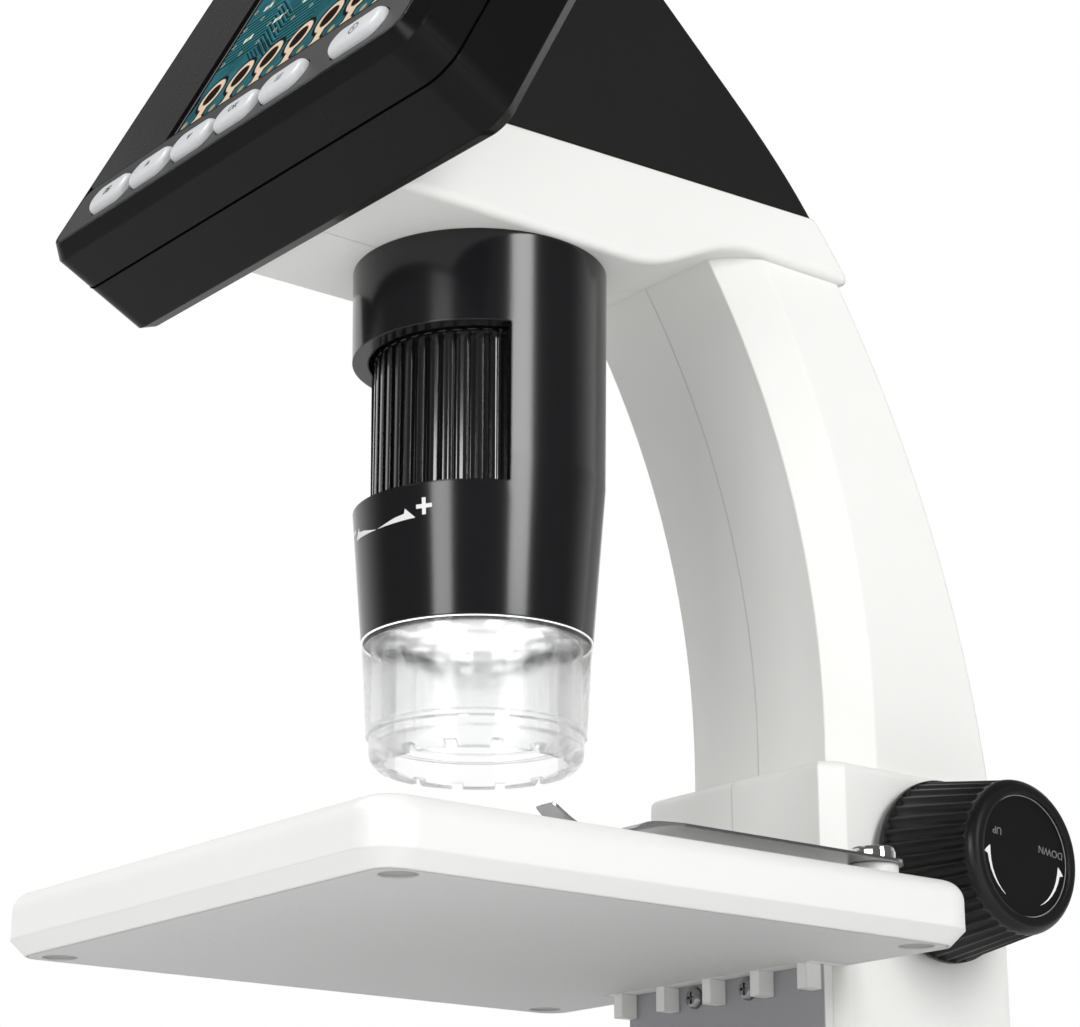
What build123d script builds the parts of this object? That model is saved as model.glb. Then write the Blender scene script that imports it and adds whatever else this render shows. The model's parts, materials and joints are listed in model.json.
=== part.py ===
"""Desktop digital microscope with a tilted display on a curved arm.

Millimetres, +Z up, the user sits on the -Y side.  The origin is the centre of
the base's footprint, level with the surface that the rubber feet stand on.
"""

from build123d import *
import os
from math import atan, cos, degrees, pi, radians, sin, sqrt, tan

os.makedirs("parts", exist_ok=True)

# ---------------------------------------------------------------- driving sizes
# Optical axis and stage
axis_y = -20.0              # the optical axis stands this far in front of the origin
stage_z = 70.0              # underside of the stage at rest
stage_width = 98.8
stage_depth = 106.6
stage_offset = 1.4          # centre of the stage behind the optical axis
stage_thickness = 9.4
stage_corner = 6.0
stage_chamfer = 2.2
stage_round = 3.0
stage_skin = 2.6            # wall above the pockets
stage_rib = 2.0             # ribs between the pockets
pocket_count = 4            # pockets each way
stage_up = 10.0             # travel above the rest height
stage_down = 30.0           # travel below it

# Stage cover, plugs and clips
cover_thickness = 1.8
cover_border = 2.6          # stage rim outside the underside cover
cover_gap = 0.2
cover_corner = 3.0
cover_notch_y = 24.8        # the cover stops here in front of the bracket
cover_notch_half = 24.0
plug_radius = 2.5
plug_depth = 0.9
plug_sunk = 0.25
plug_inset_x = 6.3          # plug centre in from the stage's edges
plug_inset_y = 7.4
post_radius = 3.7
post_height = 2.5
clip_x = 38.8
clip_back = 43.5            # clip pivot behind the optical axis
clip_width = 9.0
clip_tip_width = 3.8
clip_gauge = 0.5
clip_flat = 40.3            # straight run of the clip from its pivot
clip_toe = 54.5             # where it presses on a slide
clip_reach = 61.5
clip_toe_gap = 0.35
clip_tip_rise = 3.2
clip_seat_gap = 0.05

# Base
base_width = 104.0
base_depth = 156.0
base_height = 22.0
base_corner = 14.0
base_round = 4.0
base_wall = 2.5
plate_gap = 0.25
plate_thickness = 2.4
foot_radius = 7.0
foot_stand = 1.6            # feet below the bottom plate
foot_recess = 0.8
foot_inset = 14.0

# Column
wall = 2.5
column_front = 31.3
column_rear = 72.0
column_half = 21.8
column_bevel = 4.0          # front corner bevel, along the side
column_bevel_in = 2.0       # and across the front
column_top = 102.4
column_soft = 1.5
column_floor = 3.0
corner_soft = 3.0

# Arm
arm_side_step = 2.0         # the arm is this much narrower than the column, each side
arm_face_half = 15.5
arm_bevel = 7.1
arm_ledge = 6.0             # arm front behind the column front
arm_front_z = 108.8         # height where the front starts to lean forward
arm_front_radius = 133.0
arm_rear_z = 75.0
arm_rear_radius = 198.9

# Head
head_half = 21.2
head_floor_z = 176.1        # flat underside round the barrel
head_step_rise = 8.1        # raised underside above the arm
head_step_rear = 40.7       # the step's ends, behind the optical axis
head_step_front = 12.5
head_lip = 40.7
head_split_front_z = 191.4  # line between the light tray and the dark cover
head_split_rear_z = 193.6
head_split_rear_y = 33.2
head_brow_y = 14.4          # where the dark cover's back turns straight
head_brow_z = 212.8
cover_slope = 41.2          # the cover's straight back, above level
cover_rake = 52.0           # and its slope at the split line
head_soft = 1.4
panel_gap = 0.15            # gap between closed shells

# Display
tilt = 27.5                 # the screen leans back from upright
face_y = -69.4              # bottom edge of the screen face
face_z = 185.1
face_half = 48.5
case_mid = -1.75            # the case reaches further to the left of the arm
face_height = 74.1
bezel_flare = 1.76          # bevel round the face, in its plane
bezel_bevel = 2.35          # and in depth
bezel_depth = 8.94          # face to parting line
housing_depth = 21.1
housing_corner = 5.0
rear_bevel = 1.8
housing_wall = 2.2
glass_thickness = 1.2
insert_border = 0.5
insert_gap = 0.15
glass_low = 12.9            # lower edge of the glass up the face
picture_left = -26.3
picture_width = 61.0
picture_height = 45.7
picture_low = 13.6
panel_rim = 1.4
panel_thickness = 3.2
panel_air = 0.1             # between the panel and the cover glass
board_depth = 8.0           # front of the control board behind the face
board_thickness = 1.6

battery_size = (58.0, 36.0, 5.0)
display_screw_x = 43.0
display_screw_low = 13.0
display_screw_high = 67.0
display_boss = 2.9

board_post = 1.6
spacer_inset = 3.5          # pads that carry the panel, in from its corners
chip_height = 1.2
board_width = 85.5
board_height = 47.0
board_mid_x = -6.5
board_mid_s = 39.6
battery_mid_x = 2.0
battery_mid_s = 36.0
cable_s = 12.0
cable_width = 16.0
cable_height = 6.0
usb_size = (6.0, 7.6, 2.8)
usb_s = 27.0
card_size = (15.0, 14.2, 2.0)
card_s = 44.0

# Buttons
button_inside = 3.6         # caps reach this far behind the face
button_rest_gap = 0.05
switch_height = 0.7
switch_size = 4.6
button_board_mid = -1.5
button_board_width = 80.0
button_board_height = 8.4
button_pitch = 12.4
button_spacing = 1.2        # between two keys in the row
button_length = button_pitch - button_spacing
button_width = 5.8
button_first = -34.7
button_names = ("mode_button", "up_button", "down_button", "ok_button", "menu_button")
snap_gap = 6.9              # between the row and the wide key
snap_length = 13.0
button_up = 5.3             # middle of the row above the face's bottom edge
button_proud = 1.2
button_travel = 0.6
button_gap = 0.25
button_flange = 0.4
button_soft = 0.6

# Barrel
barrel_radius = 20.0
barrel_waist_radius = 19.6
barrel_waist_z = 140.6
barrel_end_radius = 17.6
barrel_end_z = 116.2
barrel_wall = 2.3
collar_height = 12.3
spigot_radius = 14.5
spigot_seat = 6.7           # flat seat inside the head, above its underside
nut_height = 2.5
nut_radius = 16.2
spigot_height = 10.3
window_low = 136.4
window_high = 161.3
window_angle = 67.0         # each side of the front
wheel_radius = 16.35
wheel_ribs = 44
wheel_rib_depth = 0.9
wheel_lip = 2.4
tube_radius = 12.0
tube_bore = 10.2
focus_lift = 4.0            # lens travel each way
carrier_mid_z = 150.0
carrier_height = 10.0
lug_width = 2.8
lug_reach = 13.3

# Nose cap and lighting
nose_end_z = 97.2
nose_end_radius = 14.9      # of the flat rim
nose_band_radius = 16.15    # of the straight band above the rounded end
nose_band_low = 99.6
nose_waist_radius = 16.6
nose_waist_z = 101.7
nose_recess_radius = 14.0   # open recess in the end
nose_recess_depth = 3.6
nose_bore = 12.3
nose_cavity_radius = 16.05  # hollow between the two walls
nose_cavity_z = 102.7
nose_spigot = 4.0
nose_collar = 3.1           # wall of the barrel round the cap's spigot
led_count = 8
led_radius = 1.5
led_ring = 10.2
led_drop = 3.4

nose_spigot_bore = 12.6
board_hole = 8.0
notch_count = 14
notch_depth = 1.1
notch_width = 1.8
lens_radius = 6.5
lens_crown = 1.4            # height of each curved face
lens_edge = 3.2
sensor_board_size = 24.0

# Lift: rack, pinion, rods and knobs
gear_module = 0.8
pinion_teeth = 15
pinion_width = 8.0
gear_backlash = 0.14
rack_tooth_tip = 0.7
shaft_radius = 3.0
shaft_back = 23.2           # shaft behind the column front
shaft_z = 86.8
bush_radius = 5.0
bush_flange = 6.4
bush_lip = 0.9
running = 0.08              # radial clearance of a running fit
knob_clear = 0.5
knob_length = 17.9
knob_radius = 14.4
knob_front_radius = 12.0
knob_rim_radius = 11.2
knob_flange = 1.2
knob_ribs = 38
knob_groove_radius = 0.95
groove_lift = 0.15
disc_radius = 9.5
disc_recess = 0.6
disc_thickness = 0.9
rod_radius = 1.5
rod_x = 13.5
rod_back = 3.4              # rod centre behind the column's inner front
socket_depth = 1.4
carriage_side_gap = 1.7
carriage_front_gap = 0.6
carriage_depth = 7.6
carriage_drop = 14.0        # carriage from below the stage's underside
carriage_rise = 2.0
rack_width = 9.0
rack_rise = 51.5            # rack above the stage's underside

# Stage bracket
bracket_half = 22.4
bracket_gap = 0.7           # bracket and stage clear of the column
bracket_thickness = 2.2
bracket_rib_reach = 3.3
bracket_rib_drop = 3.8
bracket_rib_width = 2.0
bracket_rib_x = 11.0
bracket_bar = 3.6           # bar sunk into the stage
bracket_drop = 14.0
bracket_screw_x = 6.2
bracket_screw_drop = 2.0
tongue_half = 9.0
tongue_drop = 10.0
slot_clearance = 0.6

# Screws
head_screw_x = 14.0         # screws from the display into the head
tray_screw_s = 9.5
cover_screw_s = 62.0
head_screw_bite = 7.0
cover_wall = 2.2
screw_shank = 1.25
screw_hole = 1.4
screw_head = 2.2
screw_head_height = 1.5
screw_recess = 0.9
boss_radius = 3.2
clip_screw_shank = 1.5
clip_screw_head = 3.5
clip_screw_height = 2.2
bracket_screw_head = 1.75
bracket_screw_shank = 1.0
bracket_screw_bite = 4.5
clip_screw_bite = 6.0

# ------------------------------------------------------------- derived places
lean = radians(tilt)
face_plane = Plane(origin=(0, face_y, face_z), x_dir=(1, 0, 0), z_dir=(0, -cos(lean), sin(lean)))
stage_top = stage_z + stage_thickness
stage_mid_y = axis_y + stage_offset
stage_rear = stage_mid_y + stage_depth / 2
pivot_y = axis_y + clip_back
column_face_half = column_half - column_bevel_in
column_mid_y = (column_front + column_rear) / 2
arm_half = column_half - arm_side_step
arm_front = column_front + arm_ledge
head_step_z = head_floor_z + head_step_rise
shaft_y = column_front + shaft_back
pitch_radius = gear_module * pinion_teeth / 2
rack_pitch_y = shaft_y - pitch_radius
rod_y = column_front + wall + rod_back
carriage_y = column_front + wall + carriage_front_gap
carriage_half = column_half - wall - carriage_side_gap
bracket_rear = column_front - bracket_gap
bracket_front = bracket_rear - bracket_thickness
knob_inner = column_half + bush_lip + knob_clear
floor_top = base_height + column_floor
shell_foot = foot_stand
plate_top = shell_foot + plate_thickness
case_half = face_half + bezel_flare
case_left = case_mid - case_half
case_height = face_height + 2 * bezel_flare
tooth_pitch = pi * gear_module
tooth_tip = gear_module
tooth_root = 1.2 * gear_module
sleeve_bore = barrel_waist_radius - barrel_wall
collar_z = head_floor_z - collar_height
wheel_low = barrel_waist_z - 6.3
wheel_high = collar_z - 0.3


def finish(builder, name):
    """Label a finished piece and write it to its own file."""
    builder.part.label = name
    export_step(builder.part, f"parts/{name}.step")


def housing_plane_y(depth, z):
    """Y of a plane parallel to the screen, a depth behind it, at a height."""
    return face_y + (z - face_z) * tan(lean) + depth / cos(lean)


def arc_drop(radius, rise):
    """How far an arc of this radius has moved sideways after a rise."""
    return radius - sqrt(radius**2 - rise**2)


def bulge(start, end, height):
    """Middle point of an arc between two points that bulges to its right by a height."""
    run = end[0] - start[0]
    rise = end[1] - start[1]
    length = sqrt(run**2 + rise**2)
    return (
        (start[0] + end[0]) / 2 + rise / length * height,
        (start[1] + end[1]) / 2 - run / length * height,
    )


# --------------------------------------------------------------------- the base
foot_spots = [
    (x * (base_width / 2 - foot_inset), y * (base_depth / 2 - foot_inset))
    for x in (-1, 1)
    for y in (-1, 1)
]
column_screw_spots = [
    (x * (column_half - wall - boss_radius - 0.3), y)
    for x in (-1, 1)
    for y in (shaft_y - 4.5, column_rear - 7)
]

with BuildPart() as base_shell:
    with BuildSketch(Plane.XY.offset(shell_foot)):
        RectangleRounded(base_width, base_depth, base_corner)
    extrude(amount=base_height - shell_foot)
    fillet(base_shell.faces().sort_by(Axis.Z)[-1].edges(), base_round)
    with BuildSketch(Plane.XY.offset(shell_foot)):
        RectangleRounded(base_width - 2 * base_wall, base_depth - 2 * base_wall, base_corner - base_wall)
    extrude(amount=base_height - base_wall - shell_foot, mode=Mode.SUBTRACT)
    with BuildSketch(Plane.XY.offset(plate_top)):
        with Locations(*foot_spots):
            Circle(boss_radius)
    extrude(amount=base_height - base_wall - plate_top)
    with Locations(*[(x, y, plate_top) for x, y in foot_spots]):
        Cylinder(screw_shank, 9, align=(Align.CENTER, Align.CENTER, Align.MIN), mode=Mode.SUBTRACT)
    with Locations(*[(x, y, base_height) for x, y in column_screw_spots]):
        Cylinder(screw_hole, 3 * base_wall, mode=Mode.SUBTRACT)
finish(base_shell, "base_shell")

with BuildPart() as base_plate:
    with BuildSketch(Plane.XY.offset(shell_foot)):
        RectangleRounded(
            base_width - 2 * (base_wall + plate_gap),
            base_depth - 2 * (base_wall + plate_gap),
            base_corner - base_wall - plate_gap,
        )
    extrude(amount=plate_thickness)
    with BuildSketch(Plane.XY.offset(shell_foot)):
        with Locations(*foot_spots):
            Circle(foot_radius + plate_gap)
    extrude(amount=foot_recess, mode=Mode.SUBTRACT)
    with BuildSketch(Plane.XY.offset(shell_foot)):
        with Locations(*foot_spots):
            Circle(screw_hole)
    extrude(amount=plate_thickness, mode=Mode.SUBTRACT)
finish(base_plate, "base_plate")

with BuildPart() as rubber_feet:
    with BuildSketch():
        with Locations(*foot_spots):
            Circle(foot_radius)
    extrude(amount=foot_stand + foot_recess)
    chamfer(rubber_feet.edges().group_by(Axis.Z)[0], 0.5)
    with BuildSketch(Plane.XY.offset(foot_stand + foot_recess - screw_head_height - 0.1)):
        with Locations(*foot_spots):
            Circle(screw_head + 0.2)
    extrude(amount=screw_head_height + 1, mode=Mode.SUBTRACT)
finish(rubber_feet, "rubber_feet")


def pan_screws(name, places, head, height, shank, length, cross=False):
    """A set of pan-head screws: each place's XY plane is the head's seat, +Z its crown."""
    with BuildPart() as screw:
        with BuildSketch(Plane.XZ):
            with BuildLine():
                Line((0, height), (head * 0.45, height))
                ThreePointArc((head * 0.45, height), (head * 0.86, height * 0.72), (head, 0))
                Polyline((head, 0), (shank, 0), (shank, -length + shank), (shank * 0.4, -length), (0, -length))
                Line((0, -length), (0, height))
            make_face()
        revolve(axis=Axis.Z)
        if cross:
            with BuildSketch(Plane.XY.offset(height)):
                Rectangle(head * 0.84, head * 0.24)
                Rectangle(head * 0.24, head * 0.84)
            extrude(amount=-height * 0.55, mode=Mode.SUBTRACT)
    with BuildPart() as group:
        for place in places:
            add(place.location * screw.part)
    finish(group, name)


def facing(point, direction):
    """A plane at a point that looks along a direction."""
    return Plane(origin=point, z_dir=direction)


foot_seat = foot_stand + foot_recess
pan_screws(
    "base_screws",
    [facing((x, y, foot_seat), (0, 0, -1)) for x, y in foot_spots],
    screw_head,
    screw_head_height,
    screw_shank,
    8,
)
pan_screws(
    "column_screws",
    [facing((x, y, base_height - base_wall), (0, 0, -1)) for x, y in column_screw_spots],
    screw_head,
    screw_head_height,
    screw_shank,
    10,
)


# ------------------------------------------------------------------- the stand
def column_solid(low, high, inset):
    """Upright block that holds the lift: bevelled in front, soft behind."""
    with BuildPart() as body:
        with BuildSketch(Plane.XY.offset(low)) as section:
            with BuildLine():
                Polyline(
                    (-column_face_half, column_front),
                    (column_face_half, column_front),
                    (column_half, column_front + column_bevel),
                    (column_half, column_rear),
                    (-column_half, column_rear),
                    (-column_half, column_front + column_bevel),
                    close=True,
                )
            make_face()
            fillet(section.vertices().group_by(Axis.Y)[-1], corner_soft)
            if inset:
                offset(amount=-inset)
        extrude(amount=high - low)
    return body


def outline_arm(low, high, inset):
    """Side outline of the curved arm between two heights, pulled in by an inset."""
    front_radius = arm_front_radius + inset
    rear_radius = arm_rear_radius - inset
    front_y = arm_front + inset
    rear_y = column_rear - inset

    def front(z):
        return (front_y - arc_drop(front_radius, z - arm_front_z), z)

    def rear(z):
        return (rear_y - arc_drop(rear_radius, z - arm_rear_z), z)

    with BuildLine() as line:
        Line((front_y, low), front(arm_front_z))
        ThreePointArc(front(arm_front_z), front((arm_front_z + high) / 2), front(high))
        Line(front(high), rear(high))
        ThreePointArc(rear(high), rear((low + high) / 2), rear(low))
        Line(rear(low), (front_y, low))
    return line


def arm_solid(low, high, inset):
    """Curved arm with its front corners bevelled, or the hollow inside it."""
    outline = outline_arm(low, high, inset)
    with BuildPart() as body:
        with BuildSketch(Plane.YZ):
            add(outline.line)
            make_face()
        extrude(amount=arm_half - inset, both=True)
        for end in (0, -1):
            flank = body.faces().filter_by(Axis.X).sort_by(Axis.X)[end]
            long_edges = [e for e in flank.edges() if low + 1 < (e @ 0.5).Z < high - 1]
            fronts = ShapeList(long_edges).sort_by(Axis.Y)[:2]
            chamfer(fronts, length=arm_bevel, length2=arm_half - arm_face_half, reference=flank)
    return body


def outline_head(inset, rise):
    """Side outline of the head's light tray, its open top raised by a rise."""
    low = head_floor_z + inset
    step = head_step_z + inset
    front_z = head_split_front_z + rise
    rear_z = head_split_rear_z + rise
    step_front = axis_y + head_step_front
    step_rear = axis_y + head_step_rear
    front_low = housing_plane_y(housing_depth + panel_gap, low)
    front_high = housing_plane_y(housing_depth + panel_gap, front_z)
    lip = head_lip - inset
    rear = head_split_rear_y - inset - rise * 0.7
    with BuildLine() as line:
        Line((front_low, low), (step_front, low))
        Spline(
            (step_front, low),
            ((step_front + step_rear) / 2, (low + step) / 2),
            (step_rear, step),
            tangents=[(1, 0), (1, 0)],
        )
        Line((step_rear, step), (lip, step))
        ThreePointArc((lip, step), bulge((lip, step), (rear, rear_z), 0.1), (rear, rear_z))
        Line((rear, rear_z), (front_high, front_z))
        Line((front_high, front_z), (front_low, low))
    return line


def tray_solid(inset, rise):
    """The head's light lower tray, or the hollow inside it."""
    outline = outline_head(inset, rise)
    with BuildPart() as body:
        with BuildSketch(Plane.YZ):
            add(outline.line)
            make_face()
        extrude(amount=head_half - inset, both=True)
        if not inset:
            for end in (0, -1):
                flank = body.faces().filter_by(Axis.X).sort_by(Axis.X)[end]
                low_edges = [
                    e
                    for e in flank.edges()
                    if (e @ 0.5).Z < head_step_z + 0.1 and e.bounding_box().size.Y > 5
                ]
                fillet(low_edges, head_soft)
    return body


stand_screw_spots = [
    (column_rear - 8.5, base_height + 13),
    (column_rear - 9.0, column_top - 2),
    (arm_front + 9.0, head_step_z - 42),
    (axis_y + 43.5, head_step_z + 6.0),
    (axis_y - 19.5, head_floor_z + 8.3),
]
stand_screw_faces = [
    column_half - screw_recess - screw_head_height,
    column_half - screw_recess - screw_head_height,
    arm_half - screw_recess - screw_head_height,
    head_half - screw_recess - screw_head_height,
    head_half - screw_recess - screw_head_height,
]

with BuildPart() as column_outer:
    add(column_solid(base_height, column_top, 0).part)
    fillet(column_outer.faces().sort_by(Axis.Z)[-1].edges(), column_soft)
with BuildPart() as stand_outer:
    add(column_outer.part)
    add(arm_solid(column_top - 4, head_step_z + 1, 0).part)
    add(tray_solid(0, 0).part)
with BuildPart() as stand_inner:
    add(column_solid(floor_top, column_top - wall, wall).part)
    add(arm_solid(column_top - wall - 3, head_step_z + wall + 0.5, wall).part)
    add(tray_solid(wall, 6).part)


def face_place(x, s, depth):
    """Location on the display: x across, s up its face, depth outward from it."""
    return face_plane.location * Location((x, s, depth))


tray_screw_spots = [(-head_screw_x, tray_screw_s), (head_screw_x, tray_screw_s)]
cover_screw_spots = [(-head_screw_x, cover_screw_s), (head_screw_x, cover_screw_s)]

with BuildPart() as barrel_seat:
    with Locations((0, axis_y, head_floor_z)):
        Cylinder(
            nut_radius + 1,
            spigot_seat,
            align=(Align.CENTER, Align.CENTER, Align.MIN),
        )
    add(tray_solid(0, 0).part, mode=Mode.INTERSECT)

with BuildPart() as tray_bosses:
    with Locations(*[face_place(x, s, -housing_depth - panel_gap) for x, s in tray_screw_spots]):
        Cylinder(boss_radius, 2 * head_screw_bite + 2)
    add(tray_solid(0, 0).part, mode=Mode.INTERSECT)


def stand_half(name, keep, side):
    """One moulded half of the column, arm and head tray."""
    with BuildPart() as half:
        add(stand_outer.part)
        add(stand_inner.part, mode=Mode.SUBTRACT)
        # bosses that the joining screws run through, and their holes
        with BuildSketch(Plane.YZ):
            with Locations(*stand_screw_spots[:3]):
                Circle(boss_radius)
        extrude(amount=side * (arm_half - 0.5))
        with BuildSketch(Plane.YZ):
            with Locations(*stand_screw_spots[3:]):
                Circle(boss_radius - 0.5)
        extrude(amount=side * (head_half - 0.5))
        for x, y in column_screw_spots:
            with Locations((x, y, base_height)):
                Cylinder(boss_radius, 12, align=(Align.CENTER, Align.CENTER, Align.MIN))
                Cylinder(screw_shank, 20, mode=Mode.SUBTRACT)
        add(barrel_seat.part)
        add(tray_bosses.part)
        split(bisect_by=Plane.YZ, keep=keep)
        with Locations(*[face_place(x, s, -housing_depth - panel_gap) for x, s in tray_screw_spots]):
            Cylinder(screw_shank, 2 * head_screw_bite, mode=Mode.SUBTRACT)
        with BuildSketch(Plane.YZ):
            with Locations(*stand_screw_spots):
                Circle(screw_hole if side < 0 else screw_shank)
        extrude(amount=side * (2 * column_half if side < 0 else arm_half - 3), mode=Mode.SUBTRACT)
        if side < 0:
            for (y, z), face_x in zip(stand_screw_spots, stand_screw_faces):
                with BuildSketch(Plane(origin=(-face_x, y, z), x_dir=(0, 1, 0), z_dir=(-1, 0, 0))):
                    Circle(screw_head + 0.3)
                extrude(amount=10, mode=Mode.SUBTRACT)
        # the barrel's spigot, the lift's slot, the shaft's bushes and the rods' sockets
        with Locations((0, axis_y, head_floor_z)):
            Cylinder(spigot_radius + panel_gap, 4 * spigot_seat, mode=Mode.SUBTRACT)
        slot_low = stage_z - tongue_drop - stage_down - slot_clearance
        slot_high = stage_z + stage_up + slot_clearance
        with Locations((0, column_front, (slot_low + slot_high) / 2)):
            Box(2 * (tongue_half + slot_clearance), 4 * wall, slot_high - slot_low, mode=Mode.SUBTRACT)
        with Locations(Plane.YZ.offset(side * column_half)):
            with Locations((shaft_y, shaft_z)):
                Cylinder(bush_radius + 0.05, 4 * wall, mode=Mode.SUBTRACT)
        with Locations((side * rod_x, rod_y, floor_top), (side * rod_x, rod_y, column_top - wall)):
            Cylinder(rod_radius + 0.05, 2 * socket_depth, mode=Mode.SUBTRACT)
    finish(half, name)
    return half


right_half = stand_half("stand_half_right", Keep.TOP, 1)
left_half = stand_half("stand_half_left", Keep.BOTTOM, -1)

pan_screws(
    "stand_screws",
    [facing((-x, y, z), (-1, 0, 0)) for (y, z), x in zip(stand_screw_spots, stand_screw_faces)],
    screw_head,
    screw_head_height,
    screw_shank,
    24,
)

with BuildPart() as guide_rods:
    with Locations((rod_x, rod_y, floor_top - socket_depth), (-rod_x, rod_y, floor_top - socket_depth)):
        Cylinder(
            rod_radius,
            column_top - wall - floor_top + 2 * socket_depth,
            align=(Align.CENTER, Align.CENTER, Align.MIN),
        )
finish(guide_rods, "guide_rods")


# -------------------------------------------------------------- head and display
def outline_cover(inset):
    """Side outline of the dark head cover above the split line."""
    low_front_z = head_split_front_z + panel_gap
    low_rear_z = head_split_rear_z + panel_gap
    apex_depth = housing_depth + panel_gap
    slope = radians(cover_slope)
    rake = radians(cover_rake)
    reach = head_brow_y - housing_plane_y(apex_depth, head_brow_z)
    apex_z = head_brow_z + reach * tan(slope) / (1 + tan(slope) * tan(lean)) - inset * 1.6
    apex = (housing_plane_y(apex_depth, apex_z) + inset, apex_z)
    front = (housing_plane_y(apex_depth, low_front_z) - inset, low_front_z - 4 * inset)
    brow = (head_brow_y - inset * sin(slope), head_brow_z - inset * cos(slope))
    rear = (head_split_rear_y - inset * sin(rake), low_rear_z - inset * cos(rake))
    foot = (rear[0] + 4 * inset * cos(rake), rear[1] - 4 * inset * sin(rake))
    with BuildLine() as line:
        if inset:
            Line(foot, rear)
        Spline(rear, brow, tangents=[(-cos(rake), sin(rake)), (-cos(slope), sin(slope))])
        Line(brow, apex)
        Line(apex, front)
        Line(front, foot)
    return line


with BuildPart() as head_cover:
    cover_outline = outline_cover(0)
    with BuildSketch(Plane.YZ):
        add(cover_outline.line)
        make_face()
    extrude(amount=head_half, both=True)
    cover_flanks = head_cover.faces().filter_by(Axis.X)
    cover_tops = [
        e
        for e in cover_flanks.edges()
        if (e @ 0.5).Z > head_split_rear_z + 5 and (e @ 0.5).Y > -18
    ]
    fillet(cover_tops, head_soft)
    cover_hollow = outline_cover(cover_wall)
    with BuildSketch(Plane.YZ):
        add(cover_hollow.line)
        make_face()
    extrude(amount=head_half - cover_wall, both=True, mode=Mode.SUBTRACT)
    with Locations(*[face_place(x, s, -housing_depth - panel_gap) for x, s in cover_screw_spots]):
        Cylinder(boss_radius, head_screw_bite + 3, align=(Align.CENTER, Align.CENTER, Align.MAX))
    # webs that tie the two bosses to the cover's sides
    for side in (-1, 1):
        with Locations(face_place(side * (head_screw_x + head_half) / 2, cover_screw_s, -housing_depth - panel_gap)):
            Box(
                head_half - head_screw_x - 1,
                2.0,
                head_screw_bite + 3,
                align=(Align.CENTER, Align.CENTER, Align.MAX),
            )
    with Locations(*[face_place(x, s, -housing_depth - panel_gap) for x, s in cover_screw_spots]):
        Cylinder(screw_shank, 2 * head_screw_bite, mode=Mode.SUBTRACT)
finish(head_cover, "head_cover")


def face_sketch_plane(depth):
    """Plane parallel to the screen, its origin half way up the face at x = 0."""
    return Plane(face_place(0, face_height / 2, depth))


def case_sketch_plane(depth):
    """Plane parallel to the screen, its origin at the middle of the case."""
    return Plane(face_place(case_mid, face_height / 2, depth))


board_posts = [
    (board_mid_x + x * (board_width / 2 - 2.2), board_mid_s + y * (board_height / 2 - 2.2))
    for x in (-1, 1)
    for y in (-1, 1)
]
socket_places = [(usb_s, usb_size), (card_s, card_size)]
display_screw_spots = [
    (case_mid + x * display_screw_x, s)
    for x in (-1, 1)
    for s in (display_screw_low, display_screw_high)
]
button_spots = [(button_first + n * button_pitch, button_length) for n in range(len(button_names))]
row_end = button_first + (len(button_names) - 1) * button_pitch + button_length / 2
button_spots.append((row_end + snap_gap + snap_length / 2, snap_length))
panel_width = picture_width + 2 * panel_rim
panel_height = picture_height + 2 * panel_rim
panel_mid_x = picture_left + picture_width / 2
panel_mid_s = picture_low + picture_height / 2
spacer_spots = [
    (panel_mid_x + x * (panel_width / 2 - spacer_inset), panel_mid_s + y * (panel_height / 2 - spacer_inset))
    for x in (-1, 1)
    for y in (-1, 1)
]

with BuildPart() as display_bezel:
    with BuildSketch(case_sketch_plane(-bezel_depth)):
        RectangleRounded(2 * case_half, case_height, housing_corner)
    extrude(amount=bezel_depth)
    front_face = display_bezel.faces().sort_by(Axis(face_plane.origin, face_plane.z_dir))[-1]
    chamfer(front_face.edges(), length=bezel_flare, length2=bezel_bevel, reference=front_face)
    with BuildSketch(case_sketch_plane(-bezel_depth)):
        RectangleRounded(
            2 * (case_half - housing_wall),
            case_height - 2 * housing_wall,
            housing_corner - housing_wall,
        )
    extrude(amount=bezel_depth - 2 * glass_thickness, mode=Mode.SUBTRACT)
    with BuildSketch(face_sketch_plane(-bezel_depth)):
        with Locations(*[(x, s - face_height / 2) for x, s in display_screw_spots]):
            Circle(display_boss)
    extrude(amount=bezel_depth - 2 * glass_thickness)
    with BuildSketch(face_sketch_plane(-bezel_depth)):
        with Locations(*[(x, s - face_height / 2) for x, s in display_screw_spots]):
            Circle(screw_shank)
    extrude(amount=bezel_depth - 2 * glass_thickness - 0.6, mode=Mode.SUBTRACT)
    with BuildSketch(case_sketch_plane(-glass_thickness)):
        RectangleRounded(
            2 * (face_half - insert_border),
            face_height - 2 * insert_border,
            housing_corner - 2.4,
        )
    extrude(amount=glass_thickness + 1, mode=Mode.SUBTRACT)
    with BuildSketch(face_sketch_plane(-2 * glass_thickness - 1)):
        with Locations((panel_mid_x, panel_mid_s - face_height / 2)):
            Rectangle(panel_width + 2 * insert_gap, panel_height + 2 * insert_gap)
        for x, length in button_spots:
            with Locations((x, button_up - face_height / 2)):
                SlotOverall(length + 2 * button_gap, button_width + 2 * button_gap)
    extrude(amount=2 * glass_thickness + 2, mode=Mode.SUBTRACT)
finish(display_bezel, "display_bezel")

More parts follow.
